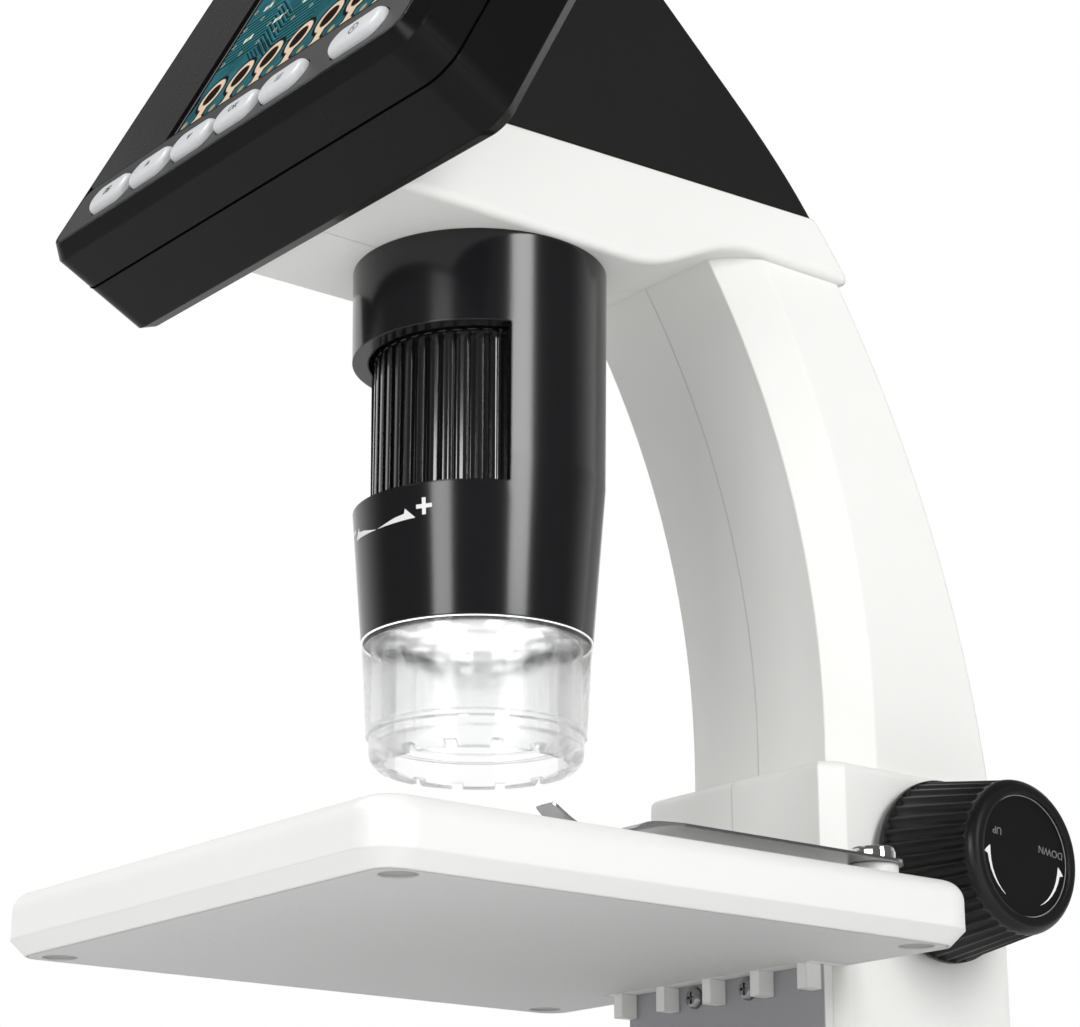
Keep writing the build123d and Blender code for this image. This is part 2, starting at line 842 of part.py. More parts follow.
with BuildPart() as face_panel:
    strip_low = insert_border + insert_gap
    strip_high = glass_low - insert_gap
    with BuildSketch(face_sketch_plane(-glass_thickness)) as strip_sketch:
        with Locations((case_mid, (strip_low + strip_high) / 2 - face_height / 2)):
            Rectangle(2 * (face_half - insert_border - insert_gap), strip_high - strip_low)
        fillet(strip_sketch.vertices().group_by(Axis.Z)[0], housing_corner - 2.6)
        for x, length in button_spots:
            with Locations((x, button_up - face_height / 2)):
                SlotOverall(length + 2 * button_gap, button_width + 2 * button_gap, mode=Mode.SUBTRACT)
    extrude(amount=glass_thickness)
finish(face_panel, "face_panel")

with BuildPart() as display_glass:
    glass_high = face_height - insert_border - insert_gap
    with BuildSketch(face_sketch_plane(-glass_thickness)) as glass_sketch:
        with Locations((case_mid, (glass_low + glass_high) / 2 - face_height / 2)):
            Rectangle(2 * (face_half - insert_border - insert_gap), glass_high - glass_low)
        fillet(glass_sketch.vertices().group_by(Axis.Z)[-1], housing_corner - 2.6)
    extrude(amount=glass_thickness)
finish(display_glass, "display_glass")

with BuildPart() as lcd_panel:
    with BuildSketch(face_sketch_plane(-glass_thickness - panel_air - panel_thickness)):
        with Locations((panel_mid_x, panel_mid_s - face_height / 2)):
            Rectangle(panel_width, panel_height)
    extrude(amount=panel_thickness)
finish(lcd_panel, "lcd_panel")

shell_depth = bezel_depth + panel_gap
with BuildPart() as display_rear:
    with BuildSketch(case_sketch_plane(-housing_depth)):
        RectangleRounded(2 * case_half, case_height, housing_corner)
    extrude(amount=housing_depth - shell_depth)
    back_face = display_rear.faces().sort_by(Axis(face_plane.origin, face_plane.z_dir))[0]
    chamfer(back_face.edges(), length=rear_bevel)
    with BuildSketch(case_sketch_plane(-housing_depth + housing_wall)):
        RectangleRounded(
            2 * (case_half - housing_wall),
            case_height - 2 * housing_wall,
            housing_corner - housing_wall,
        )
    extrude(amount=housing_depth, mode=Mode.SUBTRACT)
    # posts for the closing screws and for the control board
    with BuildSketch(face_sketch_plane(-housing_depth + 0.5)):
        with Locations(*[(x, s - face_height / 2) for x, s in display_screw_spots]):
            Circle(display_boss)
    extrude(amount=housing_depth - shell_depth - 0.5)
    with BuildSketch(face_sketch_plane(-housing_depth + 0.5)):
        with Locations(*[(x, s - face_height / 2) for x, s in board_posts]):
            Circle(board_post)
    extrude(amount=housing_depth - board_depth - board_thickness - 0.5)
    with BuildSketch(face_sketch_plane(-housing_depth)):
        with Locations(*[(x, s - face_height / 2) for x, s in display_screw_spots]):
            Circle(screw_hole)
        with Locations(*[(x, s - face_height / 2) for x, s in tray_screw_spots + cover_screw_spots]):
            Circle(screw_hole)
        with Locations((0, cable_s - face_height / 2)):
            SlotOverall(cable_width, cable_height)
    extrude(amount=housing_depth, mode=Mode.SUBTRACT)
    with BuildSketch(face_sketch_plane(-housing_depth)):
        with Locations(*[(x, s - face_height / 2) for x, s in display_screw_spots]):
            Circle(screw_head + 0.3)
    extrude(amount=screw_head_height + 0.2, mode=Mode.SUBTRACT)
    # openings for the two sockets in the left wall
    for s, size in socket_places:
        with Locations(face_place(case_left, s, -board_depth - board_thickness - size[2] / 2)):
            Box(4 * housing_wall, size[1] + 0.4, size[2] + 0.4, mode=Mode.SUBTRACT)
finish(display_rear, "display_rear")

closing_seat = housing_depth - screw_head_height - 0.2
pan_screws(
    "display_screws",
    [Plane(face_place(x, s, -closing_seat) * Location((0, 0, 0), (180, 0, 0))) for x, s in display_screw_spots],
    screw_head,
    screw_head_height,
    screw_shank,
    closing_seat - 2 * glass_thickness - 2.0,
)
pan_screws(
    "head_screws",
    [
        Plane(face_place(x, s, -housing_depth + housing_wall))
        for x, s in tray_screw_spots + cover_screw_spots
    ],
    screw_head,
    screw_head_height,
    screw_shank,
    housing_wall + head_screw_bite - 0.5,
)

with BuildPart() as control_board:
    with BuildSketch(face_sketch_plane(-board_depth - board_thickness)):
        with Locations((board_mid_x, board_mid_s - face_height / 2)):
            Rectangle(board_width, board_height)
    extrude(amount=board_thickness)
    with BuildSketch(face_sketch_plane(-board_depth - board_thickness - chip_height)):
        with Locations((-18, 18.5), (-2, 19)):
            Rectangle(9, 9)
        with Locations((10, 18.5), (22, 18.0)):
            Rectangle(8, 5)
    extrude(amount=chip_height)
    # spacer pads that carry the panel
    with BuildSketch(face_sketch_plane(-board_depth)):
        with Locations(*[(x, s - face_height / 2) for x, s in spacer_spots]):
            Circle(board_post)
    extrude(amount=board_depth - glass_thickness - panel_air - panel_thickness)
finish(control_board, "control_board")

with BuildPart() as battery:
    with BuildSketch(face_sketch_plane(-housing_depth + housing_wall)):
        with Locations((battery_mid_x, battery_mid_s - face_height / 2)):
            RectangleRounded(battery_size[0], battery_size[1], 1.5)
    extrude(amount=battery_size[2])
finish(battery, "battery")

for name, (s, size) in zip(("usb_socket", "card_socket"), socket_places):
    with BuildPart() as socket:
        with Locations(face_place(case_left + 0.3, s, -board_depth - board_thickness)):
            Box(*size, align=(Align.MIN, Align.CENTER, Align.MAX))
        with Locations(face_place(case_left + 0.3, s, -board_depth - board_thickness - 0.4)):
            Box(
                size[0] - 1,
                size[1] - 0.8,
                size[2] - 0.8,
                align=(Align.MIN, Align.CENTER, Align.MAX),
                mode=Mode.SUBTRACT,
            )
        if name == "usb_socket":
            with Locations(face_place(case_left + 1.2, s, -board_depth - board_thickness - size[2] / 2)):
                Box(size[0] - 1.2, size[1] - 2.4, 0.6, align=(Align.MIN, Align.CENTER, Align.CENTER))
    finish(socket, name)

switch_top = button_inside + button_travel + 0.1
with BuildPart() as button_board:
    with BuildSketch(face_sketch_plane(-switch_top - switch_height - board_thickness)):
        with Locations((button_board_mid, button_up - face_height / 2)):
            Rectangle(button_board_width, button_board_height)
    extrude(amount=board_thickness)
finish(button_board, "button_board")

with BuildPart() as button_switches:
    with BuildSketch(face_sketch_plane(-switch_top - switch_height)):
        with Locations(*[(x, button_up - face_height / 2) for x, _ in button_spots]):
            Rectangle(switch_size, switch_size)
    extrude(amount=switch_height - 0.4)
    with BuildSketch(face_sketch_plane(-switch_top - 0.4)):
        with Locations(*[(x, button_up - face_height / 2) for x, _ in button_spots]):
            Circle(1.4)
    extrude(amount=0.4)
finish(button_switches, "button_switches")

for name, (x, length) in zip(button_names + ("snap_button",), button_spots):
    with BuildPart() as button:
        with BuildSketch(Plane(face_place(x, button_up, -button_inside))):
            SlotOverall(length, button_width)
        extrude(amount=button_inside + button_proud)
        cap = button.faces().sort_by(Axis(face_plane.origin, face_plane.z_dir))[-1]
        fillet(cap.edges(), button_soft)
        with BuildSketch(Plane(face_place(x, button_up, -button_inside))):
            SlotOverall(length + 2 * button_flange, button_width + 2 * button_flange)
        extrude(amount=button_inside - 2 * glass_thickness - button_rest_gap)
    finish(button, name)


# ------------------------------------------------------------------- the barrel
def turned(points):
    """Ring about the optical axis from a closed (radius, height) outline."""
    with BuildPart() as body:
        with BuildSketch(Plane.XZ):
            with BuildLine():
                Polyline(*points, close=True)
            make_face()
        revolve(axis=Axis.Z)
    return body


axis_place = Location((0, axis_y, 0))
sleeve_step_z = wheel_low - 0.3
nose_seat = barrel_end_radius - nose_collar

with BuildPart() as barrel_sleeve:
    sleeve_ring = turned(
        [
            (sleeve_bore, head_step_z),
            (barrel_radius, head_step_z),
            (barrel_radius, head_floor_z),
            (barrel_waist_radius, barrel_waist_z),
            (barrel_end_radius, barrel_end_z),
            (nose_seat, barrel_end_z),
            (nose_seat, sleeve_step_z),
            (sleeve_bore, sleeve_step_z),
        ]
    )
    add(axis_place * sleeve_ring.part)
    add(tray_solid(-0.05, 0).part, mode=Mode.SUBTRACT)
    # window that shows the focus wheel
    with BuildSketch(Plane.XY.offset(window_low)):
        with Locations((0, axis_y)):
            with BuildLine():
                reach = 2 * barrel_radius
                Polyline(
                    (0, axis_y),
                    (-reach * sin(radians(window_angle)), axis_y - reach * cos(radians(window_angle))),
                    (-reach, axis_y - 2 * reach),
                    (reach, axis_y - 2 * reach),
                    (reach * sin(radians(window_angle)), axis_y - reach * cos(radians(window_angle))),
                    close=True,
                )
        make_face()
    extrude(amount=window_high - window_low, mode=Mode.SUBTRACT)
finish(barrel_sleeve, "barrel_sleeve")

spigot_top = head_floor_z + spigot_height
collar_ring = turned(
    [
        (tube_radius + 0.08, collar_z),
        (sleeve_bore - 0.05, collar_z),
        (sleeve_bore - 0.05, head_floor_z - 0.1),
        (spigot_radius, head_floor_z - 0.1),
        (spigot_radius, spigot_top),
        (tube_radius + 0.08, spigot_top),
    ]
)
with BuildPart() as barrel_collar:
    add(axis_place * collar_ring.part)
finish(barrel_collar, "barrel_collar")

nut_z = head_floor_z + spigot_seat
with BuildPart() as barrel_nut:
    with BuildSketch(Plane.XY.offset(nut_z)):
        with Locations((0, axis_y)):
            Circle(nut_radius)
            Circle(spigot_radius, mode=Mode.SUBTRACT)
            with PolarLocations(nut_radius, 6):
                Rectangle(2.0, 3.0, mode=Mode.SUBTRACT)
    extrude(amount=nut_height)
finish(barrel_nut, "barrel_nut")

tube_low = barrel_end_z + 5.9
tube_high = head_floor_z + 0.3
with BuildPart() as inner_tube:
    with BuildSketch(Plane.XY.offset(tube_low)):
        with Locations((0, axis_y)):
            Circle(tube_radius)
            Circle(tube_bore, mode=Mode.SUBTRACT)
    extrude(amount=tube_high - tube_low)
    slot_length = 2 * focus_lift + lug_width + 1.2
    with Locations((0, axis_y, carrier_mid_z)):
        Box(4 * tube_radius, lug_width + 0.3, slot_length, mode=Mode.SUBTRACT)
finish(inner_tube, "inner_tube")

wheel_bore = tube_radius + 0.6
groove_radius = lug_reach + 0.5
with BuildPart() as focus_wheel:
    wheel_ring = turned(
        [
            (wheel_bore, wheel_low),
            (wheel_radius, wheel_low),
            (wheel_radius, wheel_high),
            (wheel_bore, wheel_high),
            (wheel_bore, carrier_mid_z + slot_length / 2 + 0.8),
            (groove_radius, carrier_mid_z + slot_length / 2 + 0.8),
            (groove_radius, carrier_mid_z - slot_length / 2 - 0.8),
            (wheel_bore, carrier_mid_z - slot_length / 2 - 0.8),
        ]
    )
    add(axis_place * wheel_ring.part)
    with BuildSketch(Plane.XY.offset(wheel_low + wheel_lip)):
        with Locations((0, axis_y)):
            with PolarLocations(wheel_radius, wheel_ribs):
                Rectangle(2 * wheel_rib_depth, pi * wheel_radius / wheel_ribs)
    extrude(amount=wheel_high - wheel_low - 2 * wheel_lip, mode=Mode.SUBTRACT)
finish(focus_wheel, "focus_wheel")

with BuildPart() as lens_carrier:
    with BuildSketch(Plane.XY.offset(carrier_mid_z - carrier_height / 2)):
        with Locations((0, axis_y)):
            Circle(tube_bore - running)
            Circle(lens_radius, mode=Mode.SUBTRACT)
    extrude(amount=carrier_height)
    with BuildSketch(Plane.XY.offset(carrier_mid_z - lug_width / 2)):
        with Locations((0, axis_y)):
            Rectangle(2 * lug_reach, lug_width)
            Circle(tube_bore - 1, mode=Mode.SUBTRACT)
    extrude(amount=lug_width)
finish(lens_carrier, "lens_carrier")

lens_curve = (lens_radius**2 + lens_crown**2) / (2 * lens_crown)
lens_half_z = lens_edge / 2 + lens_crown
lens_mid_z = lens_half_z - arc_drop(lens_curve, lens_radius / 2)
with BuildPart() as objective_lens:
    with BuildSketch(Plane.XZ):
        with BuildLine():
            Line((0, -lens_half_z), (0, lens_half_z))
            ThreePointArc((0, lens_half_z), (lens_radius / 2, lens_mid_z), (lens_radius, lens_edge / 2))
            Line((lens_radius, lens_edge / 2), (lens_radius, -lens_edge / 2))
            ThreePointArc((lens_radius, -lens_edge / 2), (lens_radius / 2, -lens_mid_z), (0, -lens_half_z))
        make_face()
    revolve(axis=Axis.Z)
objective_lens.part.locate(Location((0, axis_y, carrier_mid_z)))
finish(objective_lens, "objective_lens")

ring_seat_z = barrel_end_z + nose_spigot
led_plate_z = ring_seat_z + 0.3
with BuildPart() as led_board:
    with BuildSketch(Plane.XY.offset(led_plate_z)):
        with Locations((0, axis_y)):
            Circle(nose_seat - 0.15)
            Circle(board_hole, mode=Mode.SUBTRACT)
    extrude(amount=tube_low - 0.4 - led_plate_z)
finish(led_board, "led_board")

with BuildPart() as leds:
    with Locations((0, axis_y, led_plate_z)):
        with PolarLocations(led_ring, led_count, start_angle=180 / led_count):
            Cylinder(led_radius, led_drop - led_radius, align=(Align.CENTER, Align.CENTER, Align.MAX))
            with Locations((0, 0, led_radius - led_drop)):
                Sphere(led_radius)
finish(leds, "leds")

reflector_z = barrel_end_z + 1.6
reflector_radius = nose_spigot_bore - 0.1
with BuildPart() as led_reflector:
    reflector_ring = turned(
        [
            (board_hole, reflector_z),
            (reflector_radius - 0.5, reflector_z),
            (reflector_radius - 0.5, led_plate_z - 0.05),
            (reflector_radius, led_plate_z - 0.05),
            (reflector_radius, reflector_z - 0.8),
            (board_hole, reflector_z - 0.8),
        ]
    )
    add(axis_place * reflector_ring.part)
    with Locations((0, axis_y, reflector_z)):
        with PolarLocations(led_ring, led_count, start_angle=180 / led_count):
            Cylinder(led_radius + 0.1, 4, mode=Mode.SUBTRACT)
finish(led_reflector, "led_reflector")

nose_seat_z = reflector_z - 0.85
nose_recess_z = nose_end_z + nose_recess_depth
with BuildPart() as nose_ring:
    with BuildSketch(Plane.XZ):
        with BuildLine():
            Polyline(
                (nose_end_radius, nose_end_z),
                (nose_recess_radius, nose_end_z),
                (nose_recess_radius, nose_recess_z),
                (nose_bore, nose_recess_z),
                (nose_bore, nose_seat_z),
                (nose_spigot_bore, nose_seat_z),
                (nose_spigot_bore, ring_seat_z),
                (nose_seat - 0.05, ring_seat_z),
                (nose_seat - 0.05, nose_cavity_z),
                (nose_cavity_radius, nose_cavity_z),
                (nose_cavity_radius, barrel_end_z),
                (barrel_end_radius - 0.1, barrel_end_z),
                (nose_waist_radius, nose_waist_z),
                (nose_band_radius, nose_waist_z - 0.3),
                (nose_band_radius, nose_band_low),
            )
            ThreePointArc(
                (nose_band_radius, nose_band_low),
                (nose_band_radius - 0.35, (nose_band_low + nose_end_z) / 2 - 0.3),
                (nose_end_radius, nose_end_z),
            )
        make_face()
    revolve(axis=Axis.Z)
with BuildPart() as nose_cap:
    add(axis_place * nose_ring.part)
    # notches through the rim
    with Locations((0, axis_y, nose_end_z)):
        with PolarLocations(nose_recess_radius, notch_count):
            Box(6, notch_width, 2 * notch_depth, mode=Mode.SUBTRACT)
finish(nose_cap, "nose_cap")

with BuildPart() as sensor_board:
    with Locations((0, axis_y, spigot_top)):
        Box(
            sensor_board_size,
            sensor_board_size,
            board_thickness,
            align=(Align.CENTER, Align.CENTER, Align.MIN),
        )
finish(sensor_board, "sensor_board")

with BuildPart() as image_sensor:
    with Locations((0, axis_y, spigot_top)):
        Box(9.0, 7.5, 1.4, align=(Align.CENTER, Align.CENTER, Align.MAX))
finish(image_sensor, "image_sensor")


# --------------------------------------------------------------------- the stage
notch_half = column_half + bracket_gap + 0.1
cover_width = stage_width - 2 * cover_border
cover_front_y = stage_mid_y - stage_depth / 2 + cover_border
cover_depth = stage_depth - 2 * cover_border
pocket_zone = cover_notch_y - cover_front_y
pocket_width = (cover_width - 2 * stage_rib - (pocket_count - 1) * stage_rib) / pocket_count
pocket_depth = (pocket_zone - 2 * stage_rib - (pocket_count - 1) * stage_rib) / pocket_count
plug_spots = [
    (x * (stage_width / 2 - plug_inset_x), stage_mid_y + y * (stage_depth / 2 - plug_inset_y))
    for x in (-1, 1)
    for y in (-1, 1)
]


def cover_shape(gap):
    """Outline of the underside cover, notched round the bracket, pulled in by a gap."""
    with BuildSketch() as shape:
        with Locations((0, stage_mid_y)):
            RectangleRounded(cover_width - 2 * gap, cover_depth - 2 * gap, cover_corner)
        with Locations((0, cover_notch_y - gap)):
            Rectangle(
                2 * (cover_notch_half + gap),
                stage_depth,
                align=(Align.CENTER, Align.MIN),
                mode=Mode.SUBTRACT,
            )
    return shape


with BuildPart() as stage_plate:
    with BuildSketch(Plane.XY.offset(stage_z)):
        with Locations((0, stage_mid_y)):
            RectangleRounded(stage_width, stage_depth, stage_corner)
    extrude(amount=stage_thickness)
    chamfer(stage_plate.faces().sort_by(Axis.Z)[0].edges(), stage_chamfer)
    fillet(stage_plate.faces().sort_by(Axis.Z)[-1].edges(), stage_round)
    # the clips' posts
    with BuildSketch(Plane.XY.offset(stage_top - 0.5)):
        with Locations((-clip_x, pivot_y), (clip_x, pivot_y)):
            Circle(post_radius)
    extrude(amount=post_height + 0.5)
    # recess for the cover and the pockets above it
    with BuildSketch(Plane.XY.offset(stage_z)):
        add(cover_shape(0).sketch)
    extrude(amount=cover_thickness, mode=Mode.SUBTRACT)
    with BuildSketch(Plane.XY.offset(stage_z)):
        with Locations((0, cover_front_y + pocket_zone / 2)):
            with GridLocations(
                pocket_width + stage_rib, pocket_depth + stage_rib, pocket_count, pocket_count
            ):
                Rectangle(pocket_width, pocket_depth)
    extrude(amount=stage_thickness - stage_skin, mode=Mode.SUBTRACT)
    # notch for the column and the seat of the bracket's bar
    with Locations((0, stage_rear + 5, stage_z)):
        Box(
            2 * notch_half,
            2 * (stage_rear + 5 - bracket_rear),
            4 * stage_thickness,
            mode=Mode.SUBTRACT,
        )
    with Locations((0, bracket_rear, stage_z)):
        Box(
            2 * (bracket_half + panel_gap),
            2 * (bracket_thickness + panel_gap),
            2 * bracket_bar,
            mode=Mode.SUBTRACT,
        )
    with Locations((-clip_x, pivot_y, stage_top + post_height), (clip_x, pivot_y, stage_top + post_height)):
        Cylinder(clip_screw_shank, 2 * clip_screw_bite, mode=Mode.SUBTRACT)
finish(stage_plate, "stage_plate")

with BuildPart() as stage_cover:
    with BuildSketch(Plane.XY.offset(stage_z)):
        add(cover_shape(cover_gap).sketch)
    extrude(amount=cover_thickness)
    with BuildSketch(Plane.XY.offset(stage_z)):
        with Locations(*plug_spots):
            Circle(plug_radius + 0.1)
    extrude(amount=plug_depth + plug_sunk, mode=Mode.SUBTRACT)
finish(stage_cover, "stage_cover")

with BuildPart() as stage_plugs:
    with BuildSketch(Plane.XY.offset(stage_z + plug_sunk)):
        with Locations(*plug_spots):
            Circle(plug_radius)
    extrude(amount=plug_depth)
    add(stage_cover.part, mode=Mode.SUBTRACT)
finish(stage_plugs, "stage_plugs")

bracket_low = stage_z - bracket_drop
with BuildPart() as stage_bracket:
    with BuildSketch(Plane.XZ.offset(-bracket_rear)):
        with Locations((0, (bracket_low + stage_z + bracket_bar) / 2)):
            Rectangle(2 * bracket_half, bracket_bar + bracket_drop)
    extrude(amount=bracket_thickness)
    rib_xs = (-bracket_half + bracket_rib_width / 2, -bracket_rib_x, 0, bracket_rib_x)
    for x in rib_xs + (bracket_half - bracket_rib_width / 2,):
        with Locations((x, bracket_front, stage_z)):
            Box(
                bracket_rib_width,
                bracket_rib_reach,
                bracket_rib_drop,
                align=(Align.CENTER, Align.MAX, Align.MAX),
            )
    with BuildSketch(Plane.XZ.offset(-bracket_rear)):
        with Locations(*[(x, stage_z - bracket_screw_drop) for x in (-bracket_screw_x, bracket_screw_x)]):
            Circle(bracket_screw_shank + 0.1)
    extrude(amount=2 * bracket_thickness, mode=Mode.SUBTRACT)
finish(stage_bracket, "stage_bracket")

carriage_low = stage_z - carriage_drop
carriage_high = stage_z + carriage_rise
tongue_low = stage_z - tongue_drop
with BuildPart() as lift_carriage:
    with Locations((0, carriage_y, carriage_low)):
        Box(
            2 * carriage_half,
            carriage_depth,
            carriage_high - carriage_low,
            align=(Align.CENTER, Align.MIN, Align.MIN),
        )
    with Locations((0, bracket_rear, tongue_low)):
        Box(
            2 * tongue_half,
            carriage_y - bracket_rear,
            tongue_drop - 0.2,
            align=(Align.CENTER, Align.MIN, Align.MIN),
        )
    with Locations((-rod_x, rod_y, stage_z), (rod_x, rod_y, stage_z)):
        Cylinder(rod_radius + running, 2 * stage_thickness + 40, mode=Mode.SUBTRACT)
    with BuildSketch(Plane.XZ.offset(-bracket_rear)):
        with Locations(*[(x, stage_z - bracket_screw_drop) for x in (-bracket_screw_x, bracket_screw_x)]):
            Circle(bracket_screw_shank)
    extrude(amount=-bracket_screw_bite, mode=Mode.SUBTRACT)
finish(lift_carriage, "lift_carriage")

pan_screws(
    "bracket_screws",
    [
        facing((x, bracket_front, stage_z - bracket_screw_drop), (0, -1, 0))
        for x in (-bracket_screw_x, bracket_screw_x)
    ],
    bracket_screw_head,
    1.1,
    bracket_screw_shank,
    bracket_thickness + bracket_screw_bite - 0.5,
    cross=True,
)
clip_low = stage_top + post_height + clip_seat_gap
clip_high = clip_low + clip_gauge
pan_screws(
    "clip_screws",
    [facing((x, pivot_y, clip_high + clip_seat_gap), (0, 0, 1)) for x in (-clip_x, clip_x)],
    clip_screw_head,
    clip_screw_height,
    clip_screw_shank,
    clip_screw_bite,
    cross=True,
)


def clip_points(offset_up):
    """Side outline of a clip's bent end, one face of the strip."""
    toe_z = stage_top + clip_toe_gap
    rise = clip_low - toe_z
    run = clip_toe - clip_flat
    points = [
        (pivot_y - clip_flat, clip_low, 0.0),
        (pivot_y - clip_flat - 0.55 * run, clip_low - 0.6 * rise, 0.36),
        (pivot_y - clip_toe, toe_z, 0.0),
        (pivot_y - (clip_toe + clip_reach) / 2, toe_z + 0.27 * clip_tip_rise, -0.75),
        (pivot_y - clip_reach, toe_z + clip_tip_rise, -1.0),
    ]
    return [(y - offset_up * sin(a), z + offset_up * cos(a)) for y, z, a in points]


def clip(name, x):
    """Spring clip: flat strip that turns on its post and bends down to the stage."""
    with BuildPart() as strip:
        with BuildSketch(Plane.YZ.offset(x - clip_width / 2)):
            with BuildLine():
                low = clip_points(0)
                high = clip_points(clip_gauge)
                Line((pivot_y + clip_width / 2, clip_low), low[0])
                Spline(*low, tangents=[(-1, 0), (low[-1][0] - low[-2][0], low[-1][1] - low[-2][1])])
                Line(low[-1], high[-1])
                Spline(
                    *high[::-1],
                    tangents=[(high[-2][0] - high[-1][0], high[-2][1] - high[-1][1]), (1, 0)],
                )
                Line(high[0], (pivot_y + clip_width / 2, clip_high))
                Line((pivot_y + clip_width / 2, clip_high), (pivot_y + clip_width / 2, clip_low))
            make_face()
        extrude(amount=clip_width)
        with BuildSketch(Plane.XY.offset(stage_z)):
            with Locations((x, pivot_y)):
                Circle(clip_width / 2)
            with BuildLine():
                Polyline(
                    (x - clip_width / 2, pivot_y),
                    (x - clip_width / 2, pivot_y - clip_flat),
                    (x - clip_tip_width / 2, pivot_y - clip_reach + 1),
                    (x + clip_tip_width / 2, pivot_y - clip_reach + 1),
                    (x + clip_width / 2, pivot_y - clip_flat),
                    (x + clip_width / 2, pivot_y),
                    close=True,
                )
            make_face()
            with Locations((x, pivot_y - clip_reach + 1)):
                Circle(clip_tip_width / 2)
            with Locations((x, pivot_y)):
                Circle(clip_screw_shank + 0.1, mode=Mode.SUBTRACT)
        extrude(amount=3 * stage_thickness, mode=Mode.INTERSECT)
    finish(strip, name)


clip("clip_right", clip_x)
clip("clip_left", -clip_x)


# ----------------------------------------------------------- rack, pinion, knobs
def involute(base, radius):
    """Roll angle at which an involute of this base circle reaches a radius."""
    return sqrt(max((radius / base) ** 2 - 1, 0))


pressure = radians(20)
pinion_base = pitch_radius * cos(pressure)
pinion_tip = pitch_radius + tooth_tip
pinion_root = pitch_radius - tooth_root
tooth_half_angle = (tooth_pitch / 2 - gear_backlash) / 2 / pitch_radius
pitch_roll = involute(pinion_base, pitch_radius)
involute_shift = tooth_half_angle + pitch_roll - pressure


def flank_point(radius, side):
    """Point of a pinion tooth's flank at a radius, the tooth centred on +X of its plane."""
    roll = involute(pinion_base, radius)
    angle = side * (involute_shift - (roll - atan(roll)))
    return (radius * cos(angle), radius * sin(angle))


flank_radii = [pinion_base + (pinion_tip - pinion_base) * n / 4 for n in range(5)]
right_flank = [flank_point(radius, -1) for radius in flank_radii]
left_flank = [flank_point(radius, 1) for radius in flank_radii]
tooth_foot = ((pinion_root - 0.2) * cos(involute_shift), (pinion_root - 0.2) * sin(involute_shift))
with BuildSketch() as pinion_tooth:
    with BuildLine():
        Line((tooth_foot[0], -tooth_foot[1]), right_flank[0])
        Spline(*right_flank)
        Line(right_flank[-1], left_flank[-1])
        Spline(*left_flank[::-1])
        Line(left_flank[0], tooth_foot)
        Line(tooth_foot, (tooth_foot[0], -tooth_foot[1]))
    make_face()

with BuildPart() as pinion:
    with BuildSketch(Plane.YZ.offset(-pinion_width / 2)):
        Circle(pinion_root)
        with PolarLocations(0, pinion_teeth):
            add(pinion_tooth.sketch)
        Circle(shaft_radius, mode=Mode.SUBTRACT)
    extrude(amount=pinion_width)
pinion.part.locate(Location((0, shaft_y, shaft_z)))
finish(pinion, "pinion")

rack_low = carriage_low
rack_high = stage_z + rack_rise
rack_root_y = rack_pitch_y - tooth_root
rack_tip_y = rack_pitch_y + rack_tooth_tip
flank_run = tan(pressure)
tooth_mid = tooth_pitch / 4 - gear_backlash / 4
teeth_below = int((shaft_z - rack_low) / tooth_pitch - 0.5)
teeth_above = int((rack_high - shaft_z) / tooth_pitch - 0.5)
with BuildPart() as lift_rack:
    with BuildSketch(Plane.YZ.offset(-rack_width / 2)):
        with Locations(((carriage_y + carriage_depth + rack_root_y) / 2, (rack_low + rack_high) / 2)):
            Rectangle(rack_root_y - carriage_y - carriage_depth, rack_high - rack_low)
        for n in range(-teeth_below, teeth_above + 1):
            mid = shaft_z + n * tooth_pitch
            with BuildLine():
                Polyline(
                    (rack_root_y - 0.2, mid - tooth_mid - tooth_root * flank_run),
                    (rack_root_y - 0.2, mid + tooth_mid + tooth_root * flank_run),
                    (rack_root_y, mid + tooth_mid + tooth_root * flank_run),
                    (rack_tip_y, mid + tooth_mid - rack_tooth_tip * flank_run),
                    (rack_tip_y, mid - tooth_mid + rack_tooth_tip * flank_run),
                    (rack_root_y, mid - tooth_mid - tooth_root * flank_run),
                    close=True,
                )
            make_face()
    extrude(amount=rack_width)
finish(lift_rack, "lift_rack")

knob_outer = knob_inner + knob_length
with BuildPart() as focus_shaft:
    with BuildSketch(Plane.YZ.offset(-knob_outer + 4)):
        with Locations((shaft_y, shaft_z)):
            Circle(shaft_radius)
    extrude(amount=2 * knob_outer - 8)
    chamfer(focus_shaft.edges().filter_by(GeomType.CIRCLE), 0.4)
finish(focus_shaft, "focus_shaft")

bush_inner = column_half - wall - 1.0
with BuildPart() as shaft_bushes:
    for side in (-1, 1):
        with BuildSketch(Plane.YZ.offset(side * bush_inner)):
            with Locations((shaft_y, shaft_z)):
                Circle(bush_radius)
        extrude(amount=side * (column_half - bush_inner))
        with BuildSketch(Plane.YZ.offset(side * column_half)):
            with Locations((shaft_y, shaft_z)):
                Circle(bush_flange)
        extrude(amount=side * bush_lip)
    with BuildSketch(Plane.YZ):
        with Locations((shaft_y, shaft_z)):
            Circle(shaft_radius + running)
    extrude(amount=2 * column_half, both=True, mode=Mode.SUBTRACT)
finish(shaft_bushes, "shaft_bushes")

